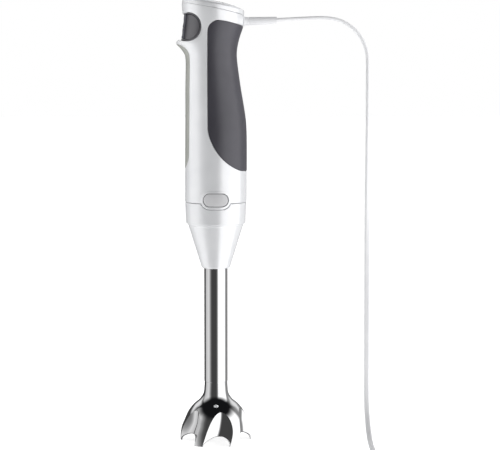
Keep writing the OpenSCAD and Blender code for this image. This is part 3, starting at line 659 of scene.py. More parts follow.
def housing_surface(uv):
    """The foot's collar, on the same sheet as the handle."""
    a, h = uv[:, 0] / ROUND, uv[:, 1]
    r = HANDLE_R - 0.2 + np.clip(h + 2.6, -20, 0) / 15.4 * 0.7
    return np.column_stack([r * np.cos(a), r * np.sin(a), SEAM + h])


def foot_housing():
    """The collar under the seam, cut out round the release lobes, and the cone below it."""
    step = -19.2
    lobe = stadium(LOBE_W + 2 * SEAM_GAP, LOBE_T + 2 * SEAM_GAP, RELEASE_H)
    a = np.arccos(np.clip(lobe[:, 0] / (HANDLE_R - 0.2), -1, 1))
    lobe = np.column_stack([-ROUND * a, lobe[:, 1]])
    lobe = lobe[lobe[:, 1] < -SEAM_GAP]
    lobe = lobe[np.argsort(-lobe[:, 0])]
    edge_h = -SEAM_GAP
    first, last = [lobe[0, 0] + 0.02, edge_h], [lobe[-1, 0] - 0.02, edge_h]
    top = np.vstack([[[BACK, edge_h], first], lobe, [last, [FRONT, edge_h]]])
    runs = [
        (evenly([[FRONT, step], [BACK, step]], 1.2), 1),
        (evenly([[BACK, step], [BACK, edge_h]], 1.2), 0),
        (evenly(top, 0.6), 1),
        (evenly([[FRONT, edge_h], [FRONT, step]], 1.2), 0),
    ]
    shape = plate(housing_surface, [runs], 0.7, 3.2, 1.6).mirrored()
    low = SEAM - 59.3
    cone = [
        [TUBE_R + 0.02, low, 0], [12.2, low, 0.5], [13, low + 1.4, 1.2],
        [24.4, SEAM - 21.2, 2], [25, SEAM - 20.2, 0.8], [25, SEAM - 17, 0],
        [TUBE_R + 0.02, SEAM - 17, 0],
    ]
    return shape.join(lathe(cone, 160))


def blade():
    """Four wings with sheared tips, tilted up and down by turns, on a flat washer."""
    low, high = BLADE_AT - BLADE_T / 2, BLADE_AT + BLADE_T / 2
    shape = lathe([[3, low, 0.1], [6, low, 0.2], [6, high, 0.2], [3, high, 0.1]], 48)
    r = span("blade")[1][0] + 0.15
    wing = [[3, -3.4, 0], [r - 5, -3.6, 1.2], [r - 3.4, -1, 1.2], [r - 4.2, 2.2, 1], [3, 3.4, 0]]
    outline = rounded(wing)[0]
    outline = evenly(np.vstack([outline, outline[:1]]), 0.5)
    for k, tilt in enumerate((16, -9, 16, -9)):
        flat = plate(lambda uv: np.column_stack([uv, np.full(len(uv), BLADE_T / 2)]),
                     [[(outline, 1)]], 0.35, BLADE_T, 1.2)
        shape.join(flat.moved(tilted_y(-tilt), (0, 0, BLADE_AT)).moved(turned_z(90 * k)))
    return shape


def blade_nut():
    """A six-sided nut with rounded corners, rounded along its lower edge."""
    ring = [[5.2 * math.cos(math.radians(60 * k)), 5.2 * math.sin(math.radians(60 * k)), 0.4]
            for k in range(6)]
    outline = rounded(ring)[0]
    outline = evenly(np.vstack([outline, outline[:1]]), 0.3)
    low = span("blade_nut")[0][2]
    return plate(lambda uv: np.column_stack([uv[:, 0], -uv[:, 1], np.full(len(uv), low)]),
                 [[(outline, 1)]], 0.4, 3, 1)


# ---- Handle ----


def grip_line():
    """The grip's edge on the left side, from the middle of the back, up the front, and back again."""
    seen = curve([[40, 27.6], [24, 28.1], [16.7, 30.9], [8.7, 36.5], [1.4, 44.2], [-3.6, 53],
                  [-6.3, 60.5], [-7.1, 67], [-7.1, 149.5], [-6.2, 154.6], [-3, 158.3],
                  [3, 160.2], [24.8, 156.2], [40, 153.2]], 60)
    back = HANDLE_R + soft_at(BODY_LINE, seen[:, 1], 2, BODY_BLUR)
    line = on_side(seen[seen[:, 0] < back - 0.001])
    return evenly(np.vstack([[BACK, line[0, 1]], line, [BACK, line[-1, 1]]]), 0.8)


def trim_line():
    """The front strip's edge on the left side, from the middle of its top down to its bottom."""
    t = np.radians(np.linspace(0, 90, 30))
    top = np.column_stack([TRIM_HALF * np.sin(t), TRIM_TOP - TRIM_ARCH * (1 - np.cos(t))])
    foot = arc((0, TRIM_LOW + TRIM_HALF), TRIM_HALF, 0, -90, 30)
    side = evenly([top[-1], foot[0]], 1)
    line = on_front(np.vstack([top, side[1:-1], foot]))
    line[[0, -1], 0] = FRONT
    return evenly(line, 0.8)


def switch_edge(r):
    """The switch's round outline on the left side, from the handle's front above it to below it."""
    seen = arc((SWITCH_X, SWITCH_H), r, 180, -180, 1440)
    sizes = handle_sizes(seen[:, 1])
    shown = seen[:, 0] > -sizes[0] - sizes[3]
    first = np.argmax(shown)
    last = first + np.argmin(shown[first:])
    line = on_side(seen[first:last])
    return evenly(np.vstack([[FRONT, line[0, 1]], line, [FRONT, line[-1, 1]]]), 0.7)


def dial_seam():
    """The casing's slanted top edge, from the middle of the back to the middle of the front."""
    u = np.linspace(BACK, FRONT, 110)
    h = np.full(len(u), DIAL_H)
    for _ in range(8):
        x = handle(np.column_stack([u, h]))[:, 0]
        h = DIAL_H - math.tan(math.radians(DIAL_TILT)) * (x - DIAL_X)
    return np.column_stack([u, h])


def lobe_line(w, t):
    """The part of the release lobe that hangs below the seam, from front to back on the left side."""
    lobe = stadium(w, t, RELEASE_H)
    lobe = lobe[lobe[:, 1] < 0]
    lobe = lobe[np.argsort(lobe[:, 0])]
    return on_side(lobe)


def casing_surface(uv):
    """The handle's outside with the flat raised rim round each release button."""
    base = handle(uv)
    x, z = base[:, 0], base[:, 2] - SEAM - RELEASE_H
    r, half = LOBE_T / 2, (LOBE_W - LOBE_T) / 2
    off = np.hypot(np.maximum(np.abs(x) - half, 0), z) - r
    t = np.clip(-off / 1.1, 0, 1)
    up = 0.32 * t * t * (3 - 2 * t)
    return base + directions(handle, uv)[0] * up[:, None]


def casing():
    """The left half of the casing: its wall, and the floors that the grip and the strip lie on."""
    grip, trim, ring, top = grip_line(), trim_line(), switch_edge(BEZEL_R + 0.15), dial_seam()
    lobe = lobe_line(LOBE_W, LOBE_T)
    bottom = np.vstack([[[FRONT, 0], [lobe[0, 0] - 0.02, 0]], lobe,
                        [[lobe[-1, 0] + 0.02, 0], [BACK, 0]]])
    grip_edge, trim_edge = shifted(grip, INLAY_GAP), shifted(trim, INLAY_GAP)
    grip_edge[[0, -1], 0], trim_edge[[0, -1], 0] = BACK, FRONT

    def middle(side, low, high):
        return evenly([[side, low], [side, high]], 1)

    runs = [
        (evenly(bottom, 0.8), 1),
        (middle(BACK, 0, grip_edge[0, 1]), 0.3),
        (grip_edge, 1),
        (middle(BACK, grip_edge[-1, 1], top[0, 1]), 0.3),
        (evenly(top, 0.9), 1),
        (middle(FRONT, top[-1, 1], ring[0, 1]), 0.3),
        (ring, 1),
        (middle(FRONT, ring[-1, 1], trim_edge[0, 1]), 0.3),
        (trim_edge, 1),
        (middle(FRONT, trim_edge[-1, 1], 0), 0.3),
    ]
    wide, tall = RELEASE_W + 2 * RELEASE_GAP, RELEASE_T + 2 * RELEASE_GAP
    hole = on_side(stadium(wide, tall, RELEASE_H))[::-1]
    hole = evenly(np.vstack([hole, hole[:1]]), 0.6)
    shape = plate(casing_surface, [runs, [(hole, 1)]], 0.35, WALL_T, 1.0)
    under_grip = shifted(grip, INLAY_LAP)[::-1]
    under_grip[[0, -1], 0] = BACK
    floor = [(under_grip, 1), (middle(BACK, under_grip[-1, 1], under_grip[0, 1]), 0.1)]
    shape.join(plate(handle, [floor], 0.1, SHELL_T, 2.2, lift=-GRIP_DEPTH))
    under_trim = shifted(trim, INLAY_LAP)[::-1]
    under_trim[[0, -1], 0] = FRONT
    floor = [(under_trim, 1), (middle(FRONT, under_trim[-1, 1], under_trim[0, 1]), 0.1)]
    shape.join(plate(handle, [floor], 0.1, SHELL_T, 1.6, lift=-TRIM_DEPTH))
    return shape


def both_sides(line, middle):
    """A left-side line and its reflection about the front or the back, as one closed outline."""
    other = line * [-1, 1] + [2 * middle, 0]
    return [(other, 1), (line[::-1], 1)] if middle == BACK else [(line[::-1], 1), (other, 1)]


def rear_grip():
    """The soft grip that wraps round the back."""
    line = shifted(grip_line(), -INLAY_GAP)
    line[[0, -1], 0] = BACK
    return plate(handle, [both_sides(line, BACK)], 0.45, GRIP_DEPTH - 0.05, 1.2, lift=0.2)


def front_trim():
    """The strip down the front."""
    line = shifted(trim_line(), -0.1)
    line[[0, -1], 0] = FRONT
    return plate(handle, [both_sides(line, FRONT)], 0.35, TRIM_DEPTH - 0.05, 0.9, lift=0.1)


# ---- Switch, release buttons and dial ----


def on_switch(points, grow):
    """Places of the switch's sheet for points given as x and height, on the left half."""
    x, h = np.array(points, float).T
    t = math.radians(FACE_TILT)
    along = (x - FACE_X) * math.cos(t) - (h - SWITCH_H) * math.sin(t)
    up = (x - FACE_X) * math.sin(t) + (h - SWITCH_H) * math.cos(t)
    cos = -along / (FACE_R + grow)
    return np.column_stack([FACE_R * np.arccos(np.clip(cos, -1, 1)), up]), cos <= 1


def switch_ring(r, grow):
    """A circle seen from the side, as a line on the switch's front from bottom to top on the left."""
    line, shown = on_switch(arc((SWITCH_X, SWITCH_H), r, -180, 180, 1440), grow)
    line = line[shown]
    return evenly(np.vstack([[0, line[0, 1]], line, [0, line[-1, 1]]]), 0.6)


def switch_loop(r, grow):
    """The same circle all the way round, as a loop for plate()."""
    line = switch_ring(r, grow)
    other = line[::-1] * [-1, 1]
    return [(line, 1), (other, 1)]


def hole_loop(loop):
    """The loop turned the other way round, which makes it a hole."""
    return [(run[::-1], share) for run, share in loop[::-1]]


def switch_bezel():
    """The ring round the switch."""
    loops = [switch_loop(BEZEL_R, 0.8), hole_loop(switch_loop(BEZEL_IN, 0.8))]
    return plate(switch_face(0.8), loops, 0.35, 4.5, 0.7)


def switch_frame():
    """Two round cheeks beside the buttons, and the floor behind them."""
    ring = switch_ring(BEZEL_IN - 0.15, 0)
    edge = FACE_R * math.asin((KEY_W / 2 + 0.4) / FACE_R)
    ring = ring[ring[:, 0] >= edge]
    ring[[0, -1], 0] = edge
    cheek = [(ring, 1), (evenly([ring[-1], ring[0]], 0.6), 1)]
    shape = plate(switch_face(0), [cheek], 0.5, 1.0, 0.9).mirrored()
    floor = switch_loop(BEZEL_IN - 0.2, -5)
    return shape.join(plate(switch_face(-5), [floor], 0.2, 1.2, 1.5))


def key(up):
    """One switch button: a curved cap that fills its half of the ring, with a hollow for the thumb."""
    face = switch_face(KEY_OUT)
    w, middle, h = FACE_R * math.asin(KEY_W / 2 / FACE_R), KEY_MID, KEY_H / 2
    split = -(FACE_R + KEY_OUT) * math.sin(math.radians(FACE_TILT))

    def dished(uv):
        base = face(uv)
        x, y = uv[:, 0] / (w - 2), (np.abs(uv[:, 1] - split) - middle) / (h - 1)
        deep = 0.3 * np.maximum(0, 1 - x * x) ** 2 * np.maximum(0, 1 - y * y) ** 2
        return base - directions(face, uv)[0] * deep[:, None]

    ring = switch_ring(BEZEL_IN - KEY_GAP, KEY_OUT)
    ring = ring[::up] if up > 0 else ring[::-1]
    ring = ring * [1, up] - [0, up * split]
    end = ring[(ring[:, 0] < w) & (ring[:, 1] > 0)]
    end = end[np.argsort(-end[:, 0])]
    side = [[w - 0.7, 0.2], [w, 0.9], [w, end[0, 1]]]
    right = np.vstack([[[0, 0.2]], side, end])
    outline = evenly(np.vstack([right, right[::-1] * [-1, 1]]), 0.5)
    outline = (outline if up > 0 else outline[::-1]) * [1, up] + [0, split]
    return plate(dished, [[(outline, 1)]], 0.4, 2.2, 0.8)


def release_button():
    """The left release button, a low dome in the casing's lobe."""
    rim = on_side(stadium(RELEASE_W, RELEASE_T, RELEASE_H))
    rim = evenly(np.vstack([rim, rim[:1]]), 0.5)

    def domed(uv):
        base = handle(uv)
        x, z = base[:, 0], base[:, 2] - SEAM - RELEASE_H
        half = (RELEASE_W - RELEASE_T) / 2
        off = np.hypot(np.maximum(np.abs(x) - half, 0), z) / (RELEASE_T / 2)
        up = 0.15 + 0.4 * np.maximum(0, 1 - off * off)
        return base + directions(handle, uv)[0] * up[:, None]

    return plate(domed, [[(rim, 1)]], 0.6, 0.7, 0.8)


DIAL_AT = (DIAL_X, 0, SEAM + DIAL_H)
DIAL_TOP = [[DIAL_R - 0.2, DIAL_SIDE - 1.6, 3], [DIAL_R - 0.9, DIAL_SIDE - 0.4, 1],
            [DIAL_R - 2.4, DIAL_SIDE + 0.3, 3], [DIAL_R - 7, DIAL_SIDE + 1.35, 14],
            [DIAL_R - 14, DIAL_SIDE + 2.4, 40], [DIAL_R - 21, DIAL_SIDE + 2.85, 60],
            [0, DIAL_SIDE + DIAL_CROWN, 0]]


def speed_dial():
    """The round cap that is turned for the speed: a shallow crown, hollow underneath."""
    rim = DIAL_R - 2
    under = [[0, 0.9, 0], [6, 0.9, 0.3], [6, 5.4, 1], [rim - 8, 4.2, 1], [rim, 2.6, 0.8],
             [rim, 0.2, 0.1], [DIAL_R - 0.05, 0.2, 0.3]]
    return lathe(under + DIAL_TOP, 192, closed=False).moved(tilted_y(DIAL_TILT), DIAL_AT)


def dial_marks():
    """Raised dots that grow in size round the dial, from slow to fast."""
    shape = Shape()
    line = rounded(DIAL_TOP, closed=False)[0]
    for k in range(10):
        size, a = 0.35 + 0.06 * k, math.radians(200 - 30 * k)
        r = DIAL_R - 5.2
        z = np.interp(-r, -line[:, 0], line[:, 1])
        dot = lathe([[0, -0.5, 0], [size, -0.5, 0], [size, 0.02, 0.02], [0, 0.05, 0]], 24, False)
        shape.join(dot.moved(np.eye(3), (r * math.cos(a), r * math.sin(a), z)))
    return shape.moved(tilted_y(DIAL_TILT), DIAL_AT)


# ---- Cord ----


def oval(w, t, n=20):
    """A flat cord's outline and its directions, centred."""
    r = t / 2
    right = arc((0, 0), 1, -90, 90, n // 2)
    left = arc((0, 0), 1, 90, 270, n // 2)
    half = (w - t) / 2
    points = np.vstack([right * r + [half, 0], left * r - [half, 0]])
    return points, np.vstack([right, left])


def cord_path():
    """The cord's middle line and the way its wide side faces, from the handle to the plug."""
    run = curve([p + w for p, w in CORD_ROUTE])
    tail = curve([p + w for p, w in TAIL_ROUTE])
    turns = []
    for start, turn, r1, r2, height in (
        (0, LOWER_TURNS, COIL_OUT, COIL_IN, COIL_LOW),
        (LOWER_TURNS, UPPER_TURNS, COIL_IN, COIL_OUT + 0.6, COIL_HIGH),
    ):
        n = int(turn * TURN_STEPS)
        for k in range(3 if start else 1, n + 1):
            a = -2 * math.pi * (start + turn * k / n)
            rise = min(1.0, k / CLIMB_STEPS)
            r = r1 + (r2 - r1) * k / n
            z = COIL_LOW + (height - COIL_LOW) * rise * rise * (3 - 2 * rise)
            turns.append([COIL_X + r * math.cos(a), COIL_Y + r * math.sin(a), z, 0, 0, 1])
    whole = np.vstack([run, turns, tail[1:]])
    along = np.concatenate([[0], np.cumsum(np.linalg.norm(np.diff(whole[:, :3], axis=0), axis=1))])
    at = np.linspace(0, along[-1], int(along[-1] / CORD_STEP))
    line = np.column_stack([np.interp(at, along, whole[:, k]) for k in range(6)])
    for _ in range(2):
        line[1:-1] = (line[:-2] + 2 * line[1:-1] + line[2:]) / 4
    return line[:, :3], unit(line[:, 3:]), along[-1]


def strain_relief():
    """A tapered sleeve with a collar and two grooves at its root, and a bore for the cord."""
    a = RELIEF_LEN
    slope = (RELIEF_TIP - RELIEF_ROOT) / RELIEF_LEN
    line = [[0, -5.5, 0], [4.4, -5.5, 0.2], [4.4, -4, 0.2], [RELIEF_ROOT, -3.8, 0.2],
            [RELIEF_ROOT, -0.4, 0.2], [4.5, -0.2, 0.2], [4.5, 0.9, 0.35],
            [RELIEF_ROOT - 0.1, 1.3, 0.3]]
    for x in (2.6, 4.4):
        r = RELIEF_ROOT + slope * x
        line += [[r, x, 0.2], [r - 0.28, x + 0.25, 0.12], [r - 0.28, x + 0.6, 0.12],
                 [r, x + 0.85, 0.2]]
    line += [[RELIEF_TIP, a, 0.5], [2.3, a, 0.3], [2.2, a - 1.4, 0.2], [0, a - 1.4, 0]]
    at = (RELIEF_X, 0, SEAM + RELIEF_H)
    return lathe(line, 64, closed=False).moved(tilted_y(90 - RELIEF_TILT), at)


PLUG_AT = (PLUG_X, PLUG_Y, PLUG_T / 2)


def plug_body():
    """A flat plug: a rounded body with a waist for the fingers, and a neck round the cord."""
    half = PLUG_HALF
    side = [[0, 5], [4, 7], [12, 8.2], [18, half - 1.2], [22, half], [PLUG_LEN - 3, half - 1.4],
            [PLUG_LEN, half - 5]]
    rounding = [1.5, 4, 5, 4, 3, 3, 3]
    upper = [[PLUG_NECK + x, y, r] for (x, y), r in zip(side, rounding)]
    lower = [[x, -y, r] for x, y, r in upper]
    outline = rounded(lower + upper[::-1])[0]
    outline = evenly(np.vstack([outline, outline[:1]]), 0.8)
    top = plate(lambda uv: np.column_stack([uv, np.full(len(uv), PLUG_T / 2)]),
                [[(outline, 1)]], 3, PLUG_T / 2, 1.6, bottom=False)
    shape = top.join(top.reflected(2))
    neck = [[0, 0.2, 0], [3.2, 0.2, 0.5]]
    for k in range(4):
        x = 2.4 + 2.6 * k
        r = 3.2 + 1.2 * x / PLUG_NECK
        neck += [[r, x, 0.2], [r - 0.3, x + 0.3, 0.15], [r - 0.3, x + 0.8, 0.15],
                 [r, x + 1.1, 0.2]]
    neck += [[4.4, PLUG_NECK + 2, 0], [0, PLUG_NECK + 2, 0]]
    shape.join(lathe(neck, 48, closed=False).moved(tilted_y(90)))
    return shape.moved(turned_z(PLUG_TURN), PLUG_AT)


def plug_pins():
    """The plug's two round contacts."""
    pin = lathe([[0, -1, 0], [PIN_R, -1, 0], [PIN_R, PIN_LEN, 0.9], [0, PIN_LEN, 0]], 32, False)
    shape = Shape()
    for side in (-1, 1):
        lying = pin.moved(tilted_y(90), (PLUG_NECK + PLUG_LEN, side * PIN_APART / 2, 0))
        shape.join(lying.moved(turned_z(PLUG_TURN), PLUG_AT))
    return shape


# ---- Materials ----


def link(tree, out, into):
    """Joins an output to an input."""
    tree.links.new(out, into)


def node(tree, kind, values=()):
    """A new node of a kind, with some of its inputs set."""
    made = tree.nodes.new("ShaderNode" + kind)
    for socket, value in dict(values).items():
        made.inputs[socket].default_value = value
    return made


def noise(tree, scale, detail=2.0, stretch=None):
    """A noise texture in the object's own coordinates, stretched along an axis if asked."""
    place = node(tree, "TexCoord")
    texture = node(tree, "TexNoise", {"Scale": scale, "Detail": detail})
    if stretch:
        mapping = node(tree, "Mapping", {"Scale": stretch})
        link(tree, place.outputs["Object"], mapping.inputs["Vector"])
        link(tree, mapping.outputs["Vector"], texture.inputs["Vector"])
    else:
        link(tree, place.outputs["Object"], texture.inputs["Vector"])
    return texture.outputs["Fac"]


def finish(dark, light, rough, metal=0.0, patch=60.0, grain=2500.0, bump=0.02,
           stretch=None, coat=0.0, coat_ior=1.5, coat_rough=0.2, spread=0.25):
    """A surface whose colour wanders between two shades, whose shine varies, with a fine grain."""
    material = bpy.data.materials.new("finish")
    material.use_nodes = True
    tree = material.node_tree
    shader = tree.nodes["Principled BSDF"]
    for socket, value in (("Metallic", metal), ("Coat Weight", coat), ("Coat IOR", coat_ior),
                          ("Coat Roughness", coat_rough)):
        shader.inputs[socket].default_value = value
    ramp = node(tree, "ValToRGB")
    ramp.color_ramp.elements[0].position = 0.3
    ramp.color_ramp.elements[1].position = 0.7
    ramp.color_ramp.elements[0].color = (*dark, 1)
    ramp.color_ramp.elements[1].color = (*light, 1)
    link(tree, noise(tree, patch), ramp.inputs["Fac"])
    link(tree, ramp.outputs["Color"], shader.inputs["Base Color"])
    shine = node(tree, "MapRange",
                 {"To Min": rough * (1 - spread), "To Max": rough * (1 + spread)})
    link(tree, noise(tree, patch * 2.3, 3, stretch), shine.inputs["Value"])
    link(tree, shine.outputs["Result"], shader.inputs["Roughness"])
    relief = node(tree, "Bump", {"Strength": bump, "Distance": 0.0002})
    link(tree, noise(tree, grain, 2, stretch), relief.inputs["Height"])
    link(tree, relief.outputs["Normal"], shader.inputs["Normal"])
    return material


def grey(v):
    """A colour without a tint."""
    return (v, v, v)


ROUND_GRAIN = (1, 1, 0.06)
LOOKS = {
    "white_gloss": finish((0.80, 0.81, 0.83), (0.84, 0.85, 0.865), 0.4, bump=0.006,
                          coat=1, coat_ior=3.2, coat_rough=0.22),
    "trim_grey": finish((0.37, 0.38, 0.35), (0.41, 0.42, 0.39), 0.35, coat=0.8,
                        coat_ior=1.8, coat_rough=0.15),
    "grip_grey": finish((0.034, 0.032, 0.044), (0.04, 0.038, 0.051), 0.5, bump=0.08,
                        coat=1, coat_ior=1.55, coat_rough=0.4),
    "switch_grey": finish((0.04, 0.038, 0.046), (0.05, 0.047, 0.056), 0.38,
                          coat=1, coat_ior=1.9, coat_rough=0.25),
    "key_grey": finish((0.082, 0.083, 0.1), (0.1, 0.1, 0.118), 0.4, coat=0.6),
    "release_grey": finish((0.56, 0.56, 0.57), (0.6, 0.6, 0.61), 0.3),
    "polished_steel": finish(grey(0.82), grey(0.86), 0.05, 1.0, bump=0.004,
                             grain=900, stretch=ROUND_GRAIN),
    "blade_steel": finish(grey(0.55), grey(0.62), 0.22, 1.0, bump=0.03),
    "machined_steel": finish(grey(0.5), grey(0.58), 0.28, 1.0, bump=0.05, stretch=(0.05, 1, 1)),
    "spring_steel": finish(grey(0.45), grey(0.52), 0.3, 1.0),
    "inner_plastic": finish(grey(0.6), grey(0.66), 0.5, bump=0.05),
    "dark_plastic": finish(grey(0.025), grey(0.034), 0.45, bump=0.05),
    "bronze": finish((0.42, 0.25, 0.1), (0.5, 0.31, 0.13), 0.38, 1.0, bump=0.1),
    "black_rubber": finish(grey(0.018), grey(0.026), 0.65, bump=0.1),
    "coupling_plastic": finish((0.6, 0.5, 0.3), (0.66, 0.56, 0.35), 0.5),
    "lamination": finish(grey(0.2), grey(0.27), 0.5, 1.0, stretch=(1, 1, 40)),
    "die_cast": finish(grey(0.42), grey(0.5), 0.5, 1.0, bump=0.15, grain=1200),
    "enamelled_copper": finish((0.4, 0.13, 0.05), (0.5, 0.18, 0.07), 0.25, 0.8, stretch=(1, 1, 20)),
    "copper": finish((0.7, 0.35, 0.2), (0.78, 0.42, 0.26), 0.25, 1.0),
    "carbon": finish(grey(0.03), grey(0.05), 0.6, bump=0.2),
    "circuit_board": finish((0.02, 0.12, 0.045), (0.03, 0.15, 0.06), 0.4),
    "film_capacitor": finish((0.55, 0.4, 0.06), (0.62, 0.46, 0.09), 0.35),
    "control_blue": finish((0.05, 0.14, 0.35), (0.07, 0.17, 0.4), 0.4),
    "lead_insulation": finish((0.3, 0.09, 0.04), (0.36, 0.12, 0.06), 0.45),
    "cord_grey": finish((0.83, 0.835, 0.85), (0.87, 0.875, 0.885), 0.42, bump=0.05),
    "plug_grey": finish((0.76, 0.765, 0.78), (0.8, 0.805, 0.815), 0.4, bump=0.05),
    "pin_nickel": finish((0.6, 0.58, 0.53), (0.68, 0.66, 0.6), 0.18, 1.0),
}
for name, material in LOOKS.items():
    material.name = name
for part in frame["record"]["subparts"]:
    mesh = frame["nodes"][part["node"]].data
    mesh.materials.clear()
    mesh.materials.append(LOOKS[part["material_slot"]])

# ---- The pieces that stand for CAD nodes ----


def show(shape, name, body, look, *nodes):
    """Builds a piece, gives it its finish and its body, and lets it stand for CAD nodes."""
    obj = shape.build(name)
    obj.data.materials.append(LOOKS[look])
    if body:
        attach(obj, body)
    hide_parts(*nodes)
    return obj


def tube():
    """The steel tube between the bell and the cone."""
    low, high = BELL_H - 0.3, span("shaft_tube")[1][2]
    return lathe([[TUBE_R - 1, low, 0], [TUBE_R, low, 0.35], [TUBE_R, high, 0],
                  [TUBE_R - 1, high, 0]], 160)


def boss():
    """The moulded boss inside the bell that carries the lower bearing."""
    neck = BELL_R - 21.8 - BELL_WALL - 0.1
    return lathe([[6, 20, 0.2], [6.6, 20, 0.5], [7.6, 21.2, 0.6], [8.2, 38, 3], [neck, 42, 2],
                  [neck, BELL_H - 0.5, 0.2], [4, BELL_H - 0.5, 0], [4, 46, 0], [6, 46, 0]], 96)


def blade_hub():
    """The collar above the blade."""
    return lathe([[3, 11.4, 0.1], [5.2, 11.4, 0.5], [6.2, 15, 0.8], [6.2, 19.4, 0.4],
                  [3, 19.4, 0.1]], 64)


show(bell(), "bell_cup", "foot", "polished_steel", "bell")
show(tube(), "shaft_sleeve", "foot", "polished_steel", "shaft_tube")
show(foot_housing(), "foot_cone", "foot", "white_gloss", "foot_housing")
show(boss(), "bell_bearing_boss", "foot", "dark_plastic", "bell_boss")
show(blade(), "blade_wings", "blade_rotor", "blade_steel", "blade")
show(blade_hub(), "blade_collar", "blade_rotor", "blade_steel", "blade_hub")
show(blade_nut(), "blade_end_nut", "blade_rotor", "blade_steel", "blade_nut")
half = casing()
show(half, "casing_left", "handle", "white_gloss", "left_shell")
show(half.reflected(), "casing_right", "handle", "white_gloss", "right_shell")
show(rear_grip(), "soft_grip", "handle", "grip_grey", "rear_grip")
show(front_trim(), "front_strip", "handle", "trim_grey", "front_trim")
show(switch_bezel(), "switch_ring", "handle", "switch_grey", "switch_bezel")
show(switch_frame(), "switch_cheeks", "handle", "switch_grey", "switch_frame")
show(key(1), "power_key_cap", "power_key", "key_grey", "power_button")
show(key(-1), "turbo_key_cap", "turbo_key", "key_grey", "turbo_button")
button = release_button()
show(button, "release_left_cap", "release_left", "release_grey", "release_button_left")
show(button.reflected(), "release_right_cap", "release_right", "release_grey",
     "release_button_right")
show(speed_dial(), "dial_cap", "dial", "white_gloss", "speed_dial")
show(dial_marks(), "dial_dots", "dial", "switch_grey")
relief = show(strain_relief(), "cord_sleeve", "handle", "cord_grey", "strain_relief")
plug = show(plug_body(), "plug_shell", "foot", "plug_grey", "plug_body")
pins = show(plug_pins(), "plug_contacts", "foot", "pin_nickel", "plug_pins")

line, wide, cord_length = cord_path()
outline, outward = oval(CORD_W, CORD_T)
flex = show(sweep(line, wide, outline, outward), "flex", None, "cord_grey", "power_cord", "cord_coil")
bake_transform(flex)
for obj in (flex, plug, pins):
    obj.visible_glossy = False

# ---- Floor, surroundings and light ----

FLOOR_HALF = 30.0
mesh = bpy.data.meshes.new("floor")
mesh.from_pydata([(-FLOOR_HALF, -FLOOR_HALF, 0), (FLOOR_HALF, -FLOOR_HALF, 0),
                  (FLOOR_HALF, FLOOR_HALF, 0), (-FLOOR_HALF, FLOOR_HALF, 0)], [], [(0, 1, 2, 3)])
floor = bpy.data.objects.new("floor", mesh)
scene.collection.objects.link(floor)
floor_look = finish(grey(0.8), grey(0.82), 0.7, bump=0.0)
floor_look.name = "pale_floor"
shader = floor_look.node_tree.nodes["Principled BSDF"]
shader.inputs["Specular IOR Level"].default_value = 0.1
shader.inputs["Emission Color"].default_value = (1, 1, 1, 1)
shader.inputs["Emission Strength"].default_value = 0.8
mesh.materials.append(floor_look)
floor.visible_glossy = False

# What the studio shows in each direction round the object: degrees, and brightness
ROOM = [(-180, 0.9), (-172, 0.06), (-124, 0.05), (-112, 0.62), (-72, 0.8), (-58, 0.34),
        (-46, 0.1), (-38, 0.06), (4, 0.06), (14, 0.25), (26, 1.3), (98, 1.3), (108, 0.3),
        (168, 0.22), (180, 0.9)]
# Name, place, width in metres and power in watts
LAMPS = [("left_light", (-1.8, 0.3, 0.7), 0.9, 18), ("right_light", (1.8, 0.2, 0.7), 0.9, 15),
         ("top_light", (0, -0.2, 2.2), 1.2, 3)]
DARK_CEILING, BACK_PANEL = (0.008, 0.008, 0.009), (0.85, 0.85, 0.86)


def step(tree, value, low, high):
    """A soft step from 0 to 1 as a value goes from low to high."""
    ease = node(tree, "MapRange", {"From Min": low, "From Max": high})
    ease.interpolation_type = "SMOOTHSTEP"
    link(tree, value, ease.inputs["Value"])
    return ease.outputs["Result"]


def sums(tree, operation, *values):
    """A sum worked out by a node."""
    made = node(tree, "Math")
    made.operation = operation
    for value, socket in zip(values, made.inputs):
        link(tree, value, socket)
    return made


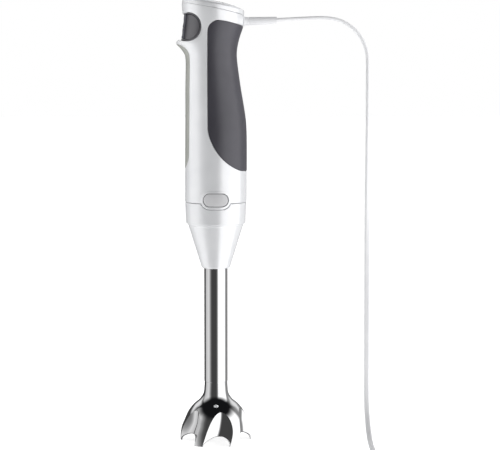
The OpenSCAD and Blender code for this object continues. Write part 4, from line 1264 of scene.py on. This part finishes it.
def over(tree, share, under, colour):
    """One colour laid over another by a share."""
    mix = node(tree, "MixRGB", {2: (*colour, 1)})
    link(tree, share, mix.inputs["Fac"])
    link(tree, under, mix.inputs[1])
    return mix.outputs["Color"]


def surroundings():
    """Grey walls by direction, a dark ceiling, and a bright panel high up behind the object."""
    world = bpy.data.worlds.new("studio")
    scene.world = world
    world.use_nodes = True
    tree = world.node_tree
    place, split, ramp = node(tree, "TexCoord"), node(tree, "SeparateXYZ"), node(tree, "ValToRGB")
    link(tree, place.outputs["Generated"], split.inputs[0])
    forward = sums(tree, "MULTIPLY", split.outputs["Y"])
    forward.inputs[1].default_value = -1
    angle = sums(tree, "ARCTAN2", split.outputs["X"], forward.outputs[0])
    share = node(tree, "MapRange", {"From Min": -math.pi, "From Max": math.pi})
    link(tree, angle.outputs[0], share.inputs["Value"])
    stops = ramp.color_ramp.elements
    while len(stops) < len(ROOM):
        stops.new(0.5)
    for stop, (deg, value) in zip(stops, ROOM):
        stop.position = (deg + 180) / 360
        stop.color = (value, value, value * 1.01, 1)
    link(tree, share.outputs["Result"], ramp.inputs["Fac"])
    ceiling = step(tree, split.outputs["Z"], 0.5, 0.8)
    behind = sums(tree, "MULTIPLY", step(tree, split.outputs["Y"], 0.42, 0.7),
                  step(tree, split.outputs["Z"], 0.15, 0.35))
    shown = over(tree, ceiling, ramp.outputs["Color"], DARK_CEILING)
    shown = over(tree, behind.outputs[0], shown, BACK_PANEL)
    shown = over(tree, node(tree, "LightPath").outputs["Is Camera Ray"], shown, grey(1))
    link(tree, shown, tree.nodes["Background"].inputs["Color"])


def soft_light(name, at, size, power):
    """A large area light aimed at the object, which doesn't show in its reflections."""
    lamp = bpy.data.lights.new(name, "AREA")
    lamp.size, lamp.energy = size, power
    obj = bpy.data.objects.new(name, lamp)
    obj.location = at
    obj.rotation_euler = (Vector(at) - Vector((0, 0, 0.2))).to_track_quat("Z", "Y").to_euler()
    obj.visible_glossy = False
    obj.visible_camera = False
    scene.collection.objects.link(obj)


surroundings()
for name, at, size, power in LAMPS:
    soft_light(name, at, size, power)
scene.view_settings.view_transform = "Standard"
